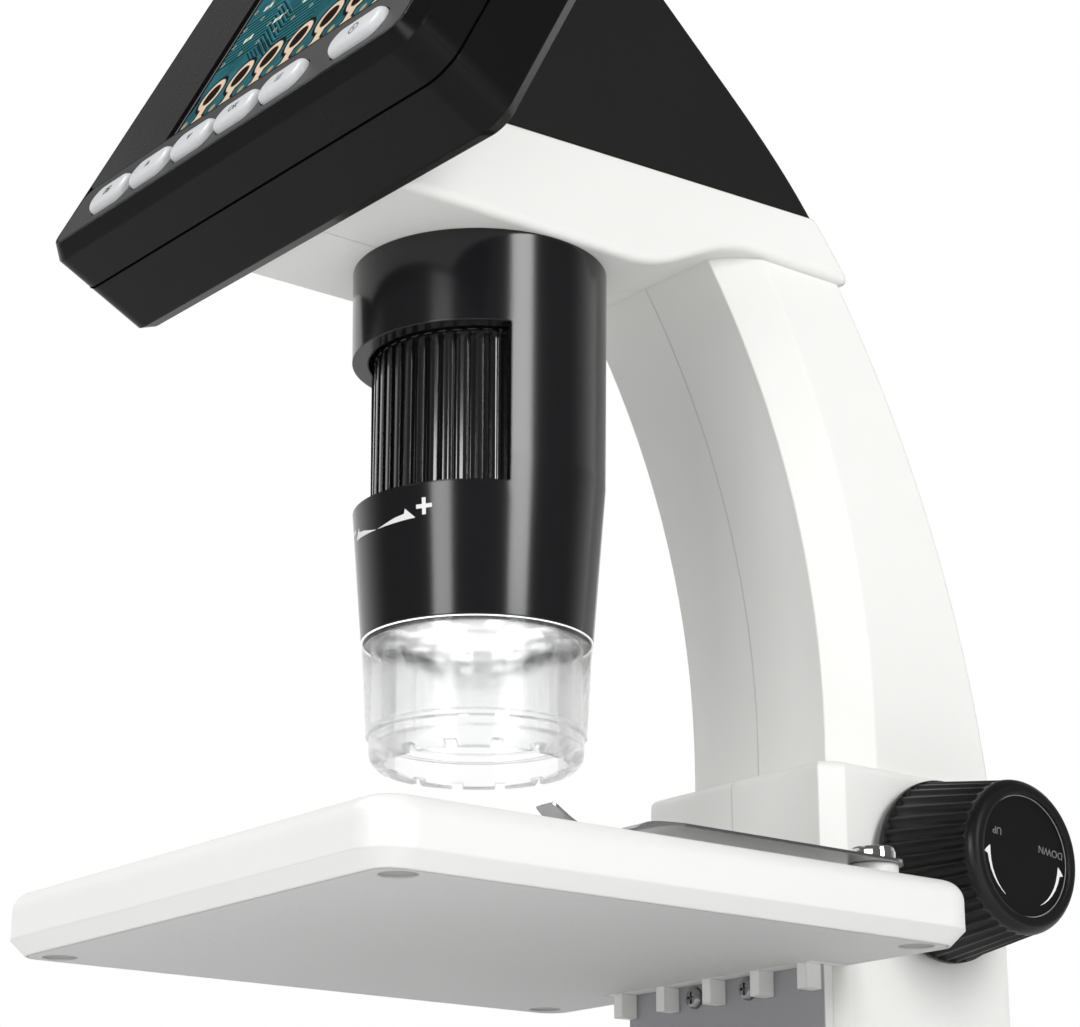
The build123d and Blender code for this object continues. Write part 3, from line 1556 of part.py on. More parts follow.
knob_outline = [
    (0, knob_inner),
    (knob_radius - 0.3, knob_inner),
    (knob_radius, knob_inner + 0.3),
    (knob_radius, knob_inner + knob_flange),
    (knob_radius - 0.25, knob_inner + knob_flange + 0.2),
    (knob_front_radius, knob_outer - 2.2),
]
groove_start = knob_inner + knob_flange
groove_end = knob_outer - 2.2
groove_slope = degrees(atan((knob_radius - knob_front_radius) / (groove_end - groove_start)))
with BuildPart() as knob:
    with BuildSketch(Plane.XZ):
        with BuildLine():
            Polyline(*knob_outline)
            ThreePointArc(
                knob_outline[-1],
                (knob_front_radius - 0.25, knob_outer - 0.9),
                (knob_rim_radius - 0.3, knob_outer),
            )
            Polyline(
                (knob_rim_radius - 0.3, knob_outer),
                (disc_radius, knob_outer),
                (disc_radius, knob_outer - disc_recess - disc_thickness),
                (0, knob_outer - disc_recess - disc_thickness),
                (0, knob_inner),
            )
        make_face()
    revolve(axis=Axis.Z)
    with Locations((0, 0, knob_inner)):
        Cylinder(
            shaft_radius,
            knob_outer - 4 - knob_inner,
            align=(Align.CENTER, Align.CENTER, Align.MIN),
            mode=Mode.SUBTRACT,
        )
    # grooves between the ribs, each ending in a rounded point
    with PolarLocations(0, knob_ribs):
        with Locations(
            Location((knob_radius + groove_lift, 0, groove_start), (0, -groove_slope, 0)),
        ):
            Cylinder(
                knob_groove_radius,
                groove_end - groove_start,
                align=(Align.CENTER, Align.CENTER, Align.MIN),
                mode=Mode.SUBTRACT,
            )
            with Locations((0, 0, groove_end - groove_start)):
                Sphere(knob_groove_radius, mode=Mode.SUBTRACT)

knob_place = Location((0, shaft_y, shaft_z), (0, 90, 0))
knob_mirror = Location((0, shaft_y, shaft_z), (0, -90, 0))
with BuildPart() as knob_right:
    add(knob_place * knob.part)
finish(knob_right, "knob_right")
with BuildPart() as knob_left:
    add(knob_mirror * knob.part)
finish(knob_left, "knob_left")

with BuildPart() as knob_discs:
    for side in (-1, 1):
        with BuildSketch(Plane.YZ.offset(side * (knob_outer - disc_recess - disc_thickness))):
            with Locations((shaft_y, shaft_z)):
                Circle(disc_radius)
        extrude(amount=side * disc_thickness)
finish(knob_discs, "knob_discs")
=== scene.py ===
"""Looks, lights and camera of the desktop display microscope."""

import bmesh
import bpy
import json
from math import cos, pi, radians, sin
from mathutils import Matrix, Vector


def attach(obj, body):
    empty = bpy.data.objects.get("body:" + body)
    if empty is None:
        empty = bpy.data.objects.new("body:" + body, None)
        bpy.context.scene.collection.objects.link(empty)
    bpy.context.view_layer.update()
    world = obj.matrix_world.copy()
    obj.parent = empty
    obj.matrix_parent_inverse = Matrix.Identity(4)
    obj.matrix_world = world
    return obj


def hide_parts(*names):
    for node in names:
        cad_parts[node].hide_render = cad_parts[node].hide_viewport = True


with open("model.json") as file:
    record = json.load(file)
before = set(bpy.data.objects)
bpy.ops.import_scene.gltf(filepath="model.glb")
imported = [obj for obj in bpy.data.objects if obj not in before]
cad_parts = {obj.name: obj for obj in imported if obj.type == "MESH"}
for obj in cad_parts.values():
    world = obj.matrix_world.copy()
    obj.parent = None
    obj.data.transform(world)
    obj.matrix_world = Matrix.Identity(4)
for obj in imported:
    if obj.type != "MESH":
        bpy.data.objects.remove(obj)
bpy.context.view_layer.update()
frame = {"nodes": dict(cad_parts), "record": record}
nodes = frame["nodes"]
MM = 0.001
WHITE = (1.0, 1.0, 1.0, 1.0)
BLACK = (0.0, 0.0, 0.0, 1.0)

# ------------------------------------------------- known places, in millimetres
AXIS_Y = -20.0              # optical axis
BARREL_END_Z = 116.2
BARREL_END_RADIUS = 17.6
BARREL_SPREAD = (19.6 - 17.6) / (140.6 - 116.2)
WHEEL_RIBS = 44
MARK_Z = 132.75             # plus and minus on the barrel
KNOB_Y = 54.5               # focus shaft
KNOB_Z = 86.8
DISC_OUTER = 40.5           # outer face of the discs in the knobs
DISC_RADIUS = 9.5
DISC_TURN = radians(173.3)  # how far the discs are turned at rest
BRACKET_FACE_Y = 28.4       # plate of the stage's bracket, where its screws sit
FACE_Y = -69.4              # bottom edge of the screen face
FACE_Z = 185.1
TILT = radians(27.5)
FACE = Matrix.Translation((0, FACE_Y, FACE_Z)) @ Matrix.Rotation(pi / 2 - TILT, 4, "X")
CASE_MID = -1.75            # middle of the display's housing, across
CASE_MID_UP = 40.0          # and up its face
BEZEL_DEPTH = 8.94          # face to the display's parting line
LINE_WIDTH = 0.32           # the parting line
LINE_SECTION = 0.4          # its outline is taken this far in front of it
LINE_GROWTH = 1.0012        # and it stands this much proud
GLASS_THICKNESS = 1.2
PICTURE_LEFT = -26.3
PICTURE_LOW = 13.6
PICTURE_WIDTH = 61.0
PICTURE_HEIGHT = 45.7
CLEAR_LEFT = 0.9            # where the clear part of the glass starts in the picture
CLEAR_MARGIN = 0.4          # how far it goes past the picture's other sides
KEY_WIDTH = 5.8
KEY_UP = 5.3                # middle of the keys above the face's bottom edge
KEY_PROUD = 1.2
KEY_INSIDE = 3.6
KEYS = {
    "mode": (-34.7, 11.2),
    "up": (-22.3, 11.2),
    "down": (-9.9, 11.2),
    "ok": (2.5, 11.2),
    "menu": (14.9, 11.2),
    "snap": (33.9, 13.0),
}
ICON_DEPTH = 0.05           # thickness of the prints on the keys
PRINT_DEPTH = 0.08          # and of those on the barrel and the knobs
PRINT_LIFT = 0.03


# --------------------------------------------------------------------- materials
class Wire:
    """One socket of a material; sums and products on it add Math nodes."""

    def __init__(self, finish, socket):
        self.finish = finish
        self.socket = socket

    def maths(self, operation, *others):
        return self.finish.node("ShaderNodeMath", {"operation": operation}, [self, *others])

    def __add__(self, other):
        return self.maths("ADD", other)

    def __radd__(self, other):
        return self.maths("ADD", other)

    def __mul__(self, other):
        return self.maths("MULTIPLY", other)

    def __rmul__(self, other):
        return self.maths("MULTIPLY", other)

    def __sub__(self, other):
        return self.maths("SUBTRACT", other)

    def __rsub__(self, other):
        return self.finish.node("ShaderNodeMath", {"operation": "SUBTRACT"}, [other, self])

    def __truediv__(self, other):
        return self.maths("DIVIDE", other)

    def above(self, edge, soft=0.0):
        """1 where this is over an edge, with a soft step where one is given."""
        if not soft:
            return self.maths("GREATER_THAN", edge)
        return ((self - (edge - soft)) / (2 * soft)).clamp(0.0, 1.0)

    def below(self, edge, soft=0.0):
        return 1 - self.above(edge, soft)

    def between(self, low, high, soft=0.0):
        return self.above(low, soft) * self.below(high, soft)

    def clamp(self, low, high):
        return self.maths("MAXIMUM", low).maths("MINIMUM", high)

    def size(self):
        return self.maths("ABSOLUTE")

    def either(self, other):
        return self.maths("MAXIMUM", other)

    def repeat(self, pitch):
        """Distance from the middle of the pitch that this falls in."""
        return ((self / pitch).maths("FRACT") - 0.5) * pitch


class Finish:
    """A surface finish on one Principled shader."""

    def __init__(self, name, colour, roughness, **plain):
        self.material = bpy.data.materials.new(name)
        self.material.use_nodes = True
        self.tree = self.material.node_tree
        self.shader = self.tree.nodes["Principled BSDF"]
        self.set("Base Color", (*colour, 1.0))
        self.set("Roughness", roughness)
        for label, value in plain.items():
            self.set(label.replace("_", " "), value)

    def set(self, label, value):
        """Puts a number, colour or wire on the shader's own socket."""
        self.feed(self.shader.inputs[label], value)

    def feed(self, socket, value):
        if isinstance(value, Wire):
            self.tree.links.new(value.socket, socket)
        else:
            socket.default_value = value

    def node(self, kind, settings=None, values=(), out=0):
        """Adds a node: its settings first, then the values or wires of its sockets."""
        made = self.tree.nodes.new(kind)
        for label, value in (settings or {}).items():
            setattr(made, label, value)
        pairs = values.items() if isinstance(values, dict) else enumerate(values)
        for label, value in pairs:
            self.feed(made.inputs[label], value)
        return Wire(self, made.outputs[out])

    def place(self):
        """Object coordinates."""
        return self.node("ShaderNodeTexCoord", out="Object")

    def across(self):
        """The three Object coordinates, in millimetres."""
        values = {0: self.place(), "Scale": 1 / MM}
        scaled = self.node("ShaderNodeVectorMath", {"operation": "SCALE"}, values)
        return [self.node("ShaderNodeSeparateXYZ", {}, [scaled], out=axis) for axis in "XYZ"]

    def noise(self, scale, detail=2.0, rough=0.5, place=None):
        vector = place or self.place()
        values = {"Vector": vector, "Scale": scale, "Detail": detail, "Roughness": rough}
        return self.node("ShaderNodeTexNoise", {}, values)

    def mix(self, share, first, second):
        """Colour between two colours."""
        values = {0: share, 6: first, 7: second}
        return self.node("ShaderNodeMix", {"data_type": "RGBA"}, values, out=2)

    def clouded(self, colour, spread=0.012):
        """A colour that wanders a little over the surface."""
        return self.mix(self.noise(18.0, 3.0), shade(colour, 1 - spread), shade(colour, 1 + spread))

    def wander(self, roughness):
        """A roughness that wanders a little over the surface."""
        self.set("Roughness", roughness * (0.92 + 0.16 * self.noise(60.0, 4.0)))

    def spark(self):
        """Height of a spark-eroded mould's fine grain."""
        return self.noise(2600.0, 3.0, 0.6)

    def relief(self, height, strength, distance, edge=0.0):
        """Bump from a height, over edges softened by a small radius."""
        values = {"Height": height, "Strength": strength, "Distance": distance}
        if edge:
            values["Normal"] = self.node("ShaderNodeBevel", {"samples": 4}, {"Radius": edge})
        self.set("Normal", self.node("ShaderNodeBump", {}, values))


def shade(colour, factor):
    """A colour made lighter or darker, with its alpha."""
    return (*[min(1.0, c * factor) for c in colour], 1.0)


def glow(strength):
    """Shader values of a surface that gives white light: the LEDs' own light, or painted glow on
    parts that are no lamps.
    """
    return {"Emission_Color": WHITE, "Emission_Strength": strength}


def moulded(name, colour, roughness, grain=0.00003, edge=0.0005, spread=0.012, **plain):
    """Moulded plastic: fine spark grain, slight cloudiness and soft edges."""
    finish = Finish(name, colour, roughness, **plain)
    finish.set("Base Color", finish.clouded(colour, spread))
    finish.wander(roughness)
    finish.relief(finish.spark(), 0.25, grain, edge)
    return finish.material


def dark_moulded(name, colour, roughness, grain, edge, specular, spread=0.1):
    """Black plastic, with its own strength of reflection."""
    return moulded(name, colour, roughness, grain, edge, spread, Specular_IOR_Level=specular)


def two_halves(name, colour, roughness):
    """White moulding with the fine joint line where its two halves meet."""
    finish = Finish(name, colour, roughness, Specular_IOR_Level=0.4)
    half_width, soft, darkness = 0.09, 0.05, 0.2
    joint = finish.across()[0].size().below(half_width, soft)
    groove = shade(colour, 0.35)
    finish.set("Base Color", finish.mix(joint * darkness, finish.clouded(colour), groove))
    finish.wander(roughness)
    finish.relief(finish.spark() - 2.0 * joint, 0.25, 0.00003, 0.0005)
    return finish.material


def bracket_with_painted_shade(name, colour, painted_shade_colour):
    """White bracket whose flat face, where the screws sit, is painted grey as shade under the
    stage.
    """
    finish = Finish(name, colour, 0.45, Specular_IOR_Level=0.4)
    depth = finish.across()[1] - BRACKET_FACE_Y
    # painted shade: the flat face where the screws sit is made grey for the shade under the stage
    face = depth.between(-0.25, 0.4, 0.1)
    finish.set("Base Color", finish.mix(face, finish.clouded(colour), (*painted_shade_colour, 1.0)))
    finish.relief(finish.spark(), 0.25, 0.00003, 0.0004)
    return finish.material


def sparked(name, colour, roughness):
    """Textured moulding with a fine, visible speckle."""
    finish = Finish(name, colour, roughness, Specular_IOR_Level=0.3)
    grain = finish.noise(2200.0, 2.0, 0.7)
    finish.set("Base Color", finish.mix(grain, shade(colour, 0.9), shade(colour, 1.1)))
    finish.relief(grain, 0.4, 0.00008, 0.0004)
    return finish.material


def fluted(name, colour, roughness, rise):
    """Gloss moulding whose ribs round the barrel's axis have rounded crowns."""
    finish = Finish(name, colour, roughness, Specular_IOR_Level=1.0)
    x, y = finish.across()[:2]
    turn = (y - AXIS_Y).maths("ARCTAN2", x)
    finish.relief((turn * (2.0 * WHEEL_RIBS)).maths("COSINE"), 1.0, rise, 0.0002)
    return finish.material


def metal(name, colour, roughness, stretch=(1.0, 1.0, 1.0)):
    """Plated or polished metal with a faint drawn grain."""
    finish = Finish(name, colour, roughness, Metallic=1.0)
    values = {"Vector": finish.place(), "Scale": stretch}
    grain = finish.noise(900.0, 4.0, 0.6, finish.node("ShaderNodeMapping", {}, values))
    finish.set("Roughness", roughness * (0.8 + 0.4 * grain))
    finish.relief(grain, 0.12, 0.00002, 0.0002)
    return finish.material


def window():
    """Glossy black cover, clear where it lies over the panel's picture."""
    finish = Finish("cover_glass", (0.012, 0.012, 0.012), 0.05)
    u, v, out = on_picture(finish)
    clear_wide = u.between(CLEAR_LEFT, PICTURE_WIDTH + CLEAR_MARGIN)
    clear_high = v.between(-CLEAR_MARGIN, PICTURE_HEIGHT + CLEAR_MARGIN)
    front_half = out.above(-GLASS_THICKNESS / 2)
    finish.set("Alpha", front_half * (1.0 - 0.9 * (clear_wide * clear_high)))
    return finish.material


def on_picture(finish):
    """Millimetres across, up and out of the picture from its lower left corner."""
    x, y, z = finish.across()
    low = FACE_Y * sin(TILT) + FACE_Z * cos(TILT) + PICTURE_LOW
    front = FACE_Z * sin(TILT) - FACE_Y * cos(TILT)
    up = y * sin(TILT) + z * cos(TILT) - low
    out = z * sin(TILT) - y * cos(TILT) - front
    return x - PICTURE_LEFT, up, out


def lit_picture():
    """The lit panel: an enlarged circuit board inside the panel's dark border."""
    finish = Finish("lit_picture", (0.004, 0.004, 0.004), 0.5, Specular_IOR_Level=0.0)
    mix = finish.mix
    u, v = on_picture(finish)[:2]
    inside = u.between(0.0, PICTURE_WIDTH) * v.between(0.0, PICTURE_HEIGHT)

    def disc(dx, dy, radius):
        return (dx * dx + dy * dy).maths("SQRT").below(radius, 0.12)

    def block(dx, dy, wide, high):
        return dx.size().below(wide / 2, 0.06) * dy.size().below(high / 2, 0.06)

    def stripes(value, pitch, half, soft):
        return value.repeat(pitch).size().below(half, soft)

    # board lacquer, cloudy, with darker tracks that jog at 45 degrees
    cloud = finish.noise(110.0, 5.0, 0.65).clamp(0.3, 0.7) * 2.5 - 0.75
    colour = mix(cloud, (0.008, 0.068, 0.082, 1.0), (0.030, 0.165, 0.205, 1.0))
    jog = v + (u - 12.0).clamp(0.0, 7.0) - (u - 30.0).clamp(0.0, 5.0)
    upper = jog.between(17.5, 29.0)
    tracks = upper * stripes(jog, 1.15, 0.24, 0.08)
    lift = u + (v - 26.0).clamp(0.0, 6.0)
    rising = lift.between(41.0, 56.0) * v.between(19.0, 44.0)
    tracks = tracks.either(rising * stripes(lift, 1.25, 0.26, 0.08))
    slant = u + v
    slanted = slant.between(26.0, 33.0) * v.between(13.0, 17.0)
    tracks = tracks.either(slanted * stripes(slant, 1.0, 0.2, 0.06))
    colour = mix(tracks, colour, (0.002, 0.018, 0.022, 1.0))
    glint = upper * stripes(jog + 0.4, 1.15, 0.10, 0.05)
    colour = mix(glint * 0.55, colour, (0.05, 0.34, 0.36, 1.0))

    # small vias and pale parts
    via_x = (u + 1.5).repeat(5.1)
    via_y = (v + 0.6).repeat(4.3)
    for radius, tint in ((0.48, (0.45, 0.42, 0.26, 1.0)), (0.22, (0.004, 0.010, 0.010, 1.0))):
        colour = mix(disc(via_x, via_y, radius) * v.above(15.0), colour, tint)
    part_x = (u - 1.2).repeat(8.7)
    part_y = (v - 2.9).repeat(7.9)
    fitted = v.above(18.5) * u.below(40.0)
    colour = mix(block(part_x, part_y, 2.5, 1.2) * fitted, colour, (0.80, 0.84, 0.74, 1.0))
    colour = mix(block(part_x, part_y, 1.3, 1.2) * fitted * 0.7, colour, (0.30, 0.33, 0.28, 1.0))

    # a chip with its two rows of legs
    chip_x = u - 22.0
    chip_y = v - 37.0
    legs = block(chip_x, chip_y, 13.0, 9.0) * stripes(chip_y, 1.0, 0.28, 0.06)
    colour = mix(legs, colour, (0.62, 0.64, 0.60, 1.0))
    colour = mix(block(chip_x, chip_y, 10.0, 9.6), colour, (0.012, 0.013, 0.014, 1.0))
    colour = mix(disc(chip_x + 3.8, chip_y - 3.4, 0.6), colour, (0.04, 0.04, 0.04, 1.0))

    # gold rings round dark holes, with a neck down to a lower, smaller row
    pitch = 8.3
    ring_x = (u - 1.0).repeat(pitch)
    ring_y = (v - 9.4) * 0.92
    neck_y = v - 4.6
    low_y = v - 2.0
    between_x = (u - 1.0 - pitch / 2).repeat(pitch)
    dark = (0.006, 0.006, 0.007, 1.0)
    gold = mix(finish.noise(500.0, 3.0), (0.66, 0.47, 0.32, 1.0), (0.86, 0.70, 0.54, 1.0))
    rims = disc(ring_x, ring_y, 3.8).either(block(ring_x, neck_y, 2.9, 5.2))
    colour = mix(rims, colour, dark)
    colour = mix(disc(ring_x, low_y, 2.8), colour, dark)
    rings = disc(ring_x, ring_y, 3.1).either(block(ring_x, neck_y, 1.9, 5.0))
    colour = mix(rings.either(disc(ring_x, low_y, 2.2)), colour, gold)
    holes = disc(ring_x, ring_y, 2.1).either(disc(ring_x, low_y, 1.35))
    colour = mix(holes, colour, (0.014, 0.006, 0.004, 1.0))
    colour = mix(disc(between_x, v - 4.2, 0.8), colour, (0.40, 0.30, 0.16, 1.0))

    # the panel's own dark surround, with a painted highlight of the glass's edge down its left side
    border = mix(u.between(-1.35, -0.75, 0.1), BLACK, (0.160, 0.135, 0.146, 1.0))
    finish.set("Emission Color", mix(inside, border, colour))
    finish.set("Emission Strength", 1.12)
    return finish.material


white_shell = two_halves("white_shell", (0.84, 0.845, 0.82), 0.42)
white_base = moulded("white_base", (0.84, 0.845, 0.82), 0.42)
white_stage = moulded("white_stage", (0.80, 0.803, 0.788), 0.45)
# The bracket's flat face is painted grey as shade.
bracket_white_painted_shade = bracket_with_painted_shade("bracket_white_painted_shade", (0.80, 0.80, 0.78), (0.34, 0.33, 0.35))
black_gloss = dark_moulded("black_gloss", (0.008, 0.008, 0.009), 0.17, 0.00001, 0.0004, 0.45)
wheel_gloss = fluted("wheel_gloss", (0.006, 0.006, 0.006), 0.10, 0.000035)
knob_satin = dark_moulded("knob_satin", (0.006, 0.006, 0.0065), 0.32, 0.00001, 0.0007, 0.35)
bush_grey = moulded("bush_grey", (0.15, 0.15, 0.148), 0.45)
case_black = dark_moulded("case_black", (0.006, 0.006, 0.006), 0.26, 0.000012, 0.0004, 0.10)
black_satin = dark_moulded("black_satin", (0.006, 0.006, 0.0065), 0.34, 0.00002, 0.0004, 0.22)
black_matte = dark_moulded("black_matte", (0.008, 0.008, 0.008), 0.5, 0.00003, 0.0005, 0.2)
black_inner = moulded("black_inner", (0.015, 0.015, 0.015), 0.6)
strip_black = dark_moulded("strip_black", (0.030, 0.029, 0.028), 0.45, 0.00002, 0.0003, 0.25, 0.05)
# The board round the LEDs glows a little: painted glow of their light.
board_white_painted_glow = moulded("board_white_painted_glow", (0.86, 0.86, 0.86), 0.4, **glow(0.25))
rubber = moulded("foot_rubber", (0.02, 0.02, 0.02), 0.8, grain=0.00008)
key_grey = moulded("key_grey", (0.60, 0.61, 0.62), 0.42, grain=0.00001, edge=0.0003)
underside_grey = sparked("underside_grey", (0.58, 0.58, 0.585), 0.6)
plug_grey = moulded("plug_grey", (0.30, 0.31, 0.295), 0.5)
gear_plastic = moulded("gear_plastic", (0.72, 0.70, 0.62), 0.45)
board_green = moulded("board_green", (0.02, 0.14, 0.06), 0.35)
foil_wrap = moulded("foil_wrap", (0.45, 0.46, 0.48), 0.35)
# The white surround of the LEDs glows a little: painted glow of their light.
reflector_painted_glow = moulded("reflector_painted_glow", (0.86, 0.86, 0.86), 0.3, **glow(0.25))
print_white = moulded("print_white", (0.80, 0.80, 0.80), 0.5, edge=0.0)
print_silver = moulded("print_silver", (0.30, 0.30, 0.305), 0.35, edge=0.0)
print_grey = moulded("print_grey", (0.17, 0.17, 0.17), 0.45, edge=0.0)
print_dark = moulded("print_dark", (0.05, 0.05, 0.055), 0.5, edge=0.0)
steel = metal("zinc_steel", (0.62, 0.62, 0.63), 0.3)
chrome = metal("chrome_plate", (0.80, 0.80, 0.81), 0.08)
# Chrome darkened for the bracket's screws: painted shade and dark reflections of the recess under
# the stage.
chrome_painted_shade = metal("chrome_painted_shade", (0.30, 0.30, 0.31), 0.10)
clip_steel = metal("clip_steel", (0.48, 0.48, 0.485), 0.24, (1.0, 0.05, 1.0))
brass = metal("turned_brass", (0.72, 0.52, 0.22), 0.25)
line_black = Finish("line_black", (0.001, 0.001, 0.001), 0.9, Specular_IOR_Level=0.0).material
# The nose's rim glows though it is no lamp: painted glow.
rim_painted_glow = Finish("rim_painted_glow", (0.9, 0.9, 0.9), 0.3, **glow(0.5)).material
lit_leds = Finish("lit_leds", (0.9, 0.9, 0.88), 0.2, **glow(1.6)).material
clear = {"Transmission_Weight": 1.0, "IOR": 1.3, "Alpha": 0.55}
clear_nose = Finish("clear_nose", (0.98, 0.985, 0.985), 0.03, **clear).material
coated = {"Transmission_Weight": 1.0, "IOR": 1.6}
coated_lens = Finish("coated_lens", (0.80, 0.90, 0.95), 0.0, **coated).material

looks = {
    "white_shell": white_shell,
    "white_stage": white_stage,
    "white_base": white_base,
    "grey_underside": underside_grey,
    "grey_plug": plug_grey,
    "black_matte": black_matte,
    "black_gloss": black_gloss,
    "black_inner": black_inner,
    "black_rubber": rubber,
    "strip_grey": strip_black,
    "button_grey": key_grey,
    "screen_glass": window(),
    "screen_panel": lit_picture(),
    "clear_nose": clear_nose,
    "lens_glass": coated_lens,
    "reflector_white": reflector_painted_glow,
    "led_white": lit_leds,
    "circuit_green": board_green,
    "battery_wrap": foil_wrap,
    "steel": steel,
    "chrome_metal": chrome,
    "spring_steel": clip_steel,
    "brass_bush": brass,
    "dark_metal": black_satin,
    "knob_black": black_satin,
    "gear_white": gear_plastic,
}
slot_of = {part["node"]: part["material_slot"] for part in frame["record"]["subparts"]}
own_looks = {
    "stage_bracket": bracket_white_painted_shade,
    "display_bezel": case_black,
    "display_rear": case_black,
    "focus_wheel": wheel_gloss,
    "knob_right": knob_satin,
    "knob_left": knob_satin,
    "shaft_bushes": bush_grey,
    "led_board": board_white_painted_glow,
}
for name, solid in nodes.items():
    solid.data.materials.clear()
    solid.data.materials.append(own_looks.get(name, looks[slot_of[name]]))


# ------------------------------------------------------------------------ shaping
def put(name, shape, place, body, look, smooth=False):
    """Makes a shape in millimetres a piece of a body, with its place in its mesh."""
    shape.transform(Matrix.Scale(MM, 4) @ place)
    bmesh.ops.remove_doubles(shape, verts=shape.verts, dist=1e-7)
    bmesh.ops.recalc_face_normals(shape, faces=shape.faces)
    mesh = bpy.data.meshes.new(name)
    shape.to_mesh(mesh)
    shape.free()
    mesh.materials.append(look)
    for face in mesh.polygons:
        face.use_smooth = smooth
    made = bpy.data.objects.new(name, mesh)
    bpy.context.scene.collection.objects.link(made)
    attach(made, body)
    return made


def new_points(grown):
    """The vertices that an extrusion made."""
    return [v for v in grown["geom"] if isinstance(v, bmesh.types.BMVert)]


def open_edges(shape):
    """The edges round the open side of a shape."""
    return [edge for edge in shape.edges if edge.is_boundary]


def thicken(shape, depth):
    """Gives a flat shape a thickness below its faces, along -Z."""
    grown = bmesh.ops.extrude_face_region(shape, geom=shape.faces[:])
    bmesh.ops.translate(shape, verts=new_points(grown), vec=(0, 0, -depth))


def blade(stations):
    """A flat band from pairs of edge points, one pair to a station."""
    shape = bmesh.new()
    first = [shape.verts.new((*point, 0)) for point in stations[0]]
    edge = shape.edges.new(first)
    for pair in stations[1:]:
        grown = bmesh.ops.extrude_edge_only(shape, edges=[edge])
        edge = next(e for e in grown["geom"] if isinstance(e, bmesh.types.BMEdge))
        for vert, point in zip(new_points(grown), pair):
            vert.co = (*point, 0)
    bmesh.ops.remove_doubles(shape, verts=shape.verts, dist=1e-4)
    return shape


def plus_sign(reach, stroke, cuts=0):
    """A flat plus: a square with an arm drawn from each side."""
    shape = bmesh.new()
    bmesh.ops.create_grid(shape, x_segments=1, y_segments=1, size=stroke / 2)
    for edge in shape.edges[:]:
        outward = (edge.verts[0].co + edge.verts[1].co).normalized()
        grown = bmesh.ops.extrude_edge_only(shape, edges=[edge])
        arm = outward * (reach - stroke / 2)
        bmesh.ops.translate(shape, verts=new_points(grown), vec=arm)
    if cuts:
        bmesh.ops.subdivide_edges(shape, edges=shape.edges[:], cuts=cuts, use_grid_fill=True)
    return shape


def plate(wide, high, x=0.0, y=0.0):
    """A flat rectangle about a point."""
    shape = bmesh.new()
    bmesh.ops.create_grid(shape, x_segments=1, y_segments=1, size=0.5)
    bmesh.ops.scale(shape, verts=shape.verts, vec=(wide, high, 1))
    bmesh.ops.translate(shape, verts=shape.verts, vec=(x, y, 0))
    return shape


def band(inner, outer, depth, steps=96):
    """A flat ring with a thickness, spun from its cross section."""
    shape = plate(outer - inner, depth)
    bmesh.ops.rotate(shape, verts=shape.verts, matrix=Matrix.Rotation(pi / 2, 3, "X"))
    bmesh.ops.translate(shape, verts=shape.verts, vec=((inner + outer) / 2, 0, -depth / 2))
    section = shape.faces[:]
    bmesh.ops.spin(
        shape,
        geom=shape.verts[:] + shape.edges[:] + section,
        axis=(0, 0, 1),
        cent=(0, 0, 0),
        steps=steps,
        angle=2 * pi,
        use_merge=True,
    )
    bmesh.ops.delete(shape, geom=section, context="FACES_ONLY")
    return shape


def words(text, height, depth):
    """Flat letters about the origin, with a thickness."""
    curve = bpy.data.curves.new(text, "FONT")
    curve.body = text
    curve.align_x = "CENTER"
    curve.align_y = "CENTER"
    curve.size = height / 0.7
    curve.extrude = depth / 2
    holder = bpy.data.objects.new(text, curve)
    bpy.context.scene.collection.objects.link(holder)
    bpy.context.view_layer.update()
    graph = bpy.context.evaluated_depsgraph_get()
    mesh = bpy.data.meshes.new_from_object(holder.evaluated_get(graph))
    shape = bmesh.new()
    shape.from_mesh(mesh)
    bpy.data.objects.remove(holder)
    bpy.data.curves.remove(curve)
    bpy.data.meshes.remove(mesh)
    return shape


def gather(shapes):
    """Several shapes as one."""
    whole = bmesh.new()
    for shape in shapes:
        part = bpy.data.meshes.new("part")
        shape.to_mesh(part)
        whole.from_mesh(part)
        shape.free()
        bpy.data.meshes.remove(part)
    return whole


# ------------------------------------------------------------------ keys and face
def on_face(x, up, out=0.0):
    """Place on the display: across, up its face and out from it."""
    return FACE @ Matrix.Translation((x, up, out))


def key_cap(length):
    """Soft pill: a circle drawn apart into a slot, raised, and rounded over."""
    shape = bmesh.new()
    bmesh.ops.create_circle(shape, cap_ends=True, segments=48, radius=KEY_WIDTH / 2)
    for vert in shape.verts:
        if abs(vert.co.x) > 0.01:
            vert.co.x += (length - KEY_WIDTH) / 2 * (1 if vert.co.x > 0 else -1)
    thicken(shape, KEY_PROUD + KEY_INSIDE)
    top = [e for e in shape.edges if all(v.co.z > -0.01 for v in e.verts)]
    bmesh.ops.bevel(
        shape,
        geom=top,
        offset=1.1,
        affect="EDGES",
        segments=6,
        profile=0.5,
        material=-1,
    )
    bmesh.ops.translate(shape, verts=shape.verts, vec=(0, 0, KEY_PROUD))
    return shape


def bar(wide, high, x=0.0, y=0.0):
    """A small flat bar."""
    shape = plate(wide, high, x, y)
    thicken(shape, ICON_DEPTH)
    return shape


def wedge(turn):
    """A small flat triangle."""
    shape = bmesh.new()
    bmesh.ops.create_circle(shape, cap_ends=True, segments=3, radius=0.85)
    bmesh.ops.rotate(shape, verts=shape.verts, matrix=Matrix.Rotation(turn, 3, "Z"))
    thicken(shape, ICON_DEPTH)
    return shape


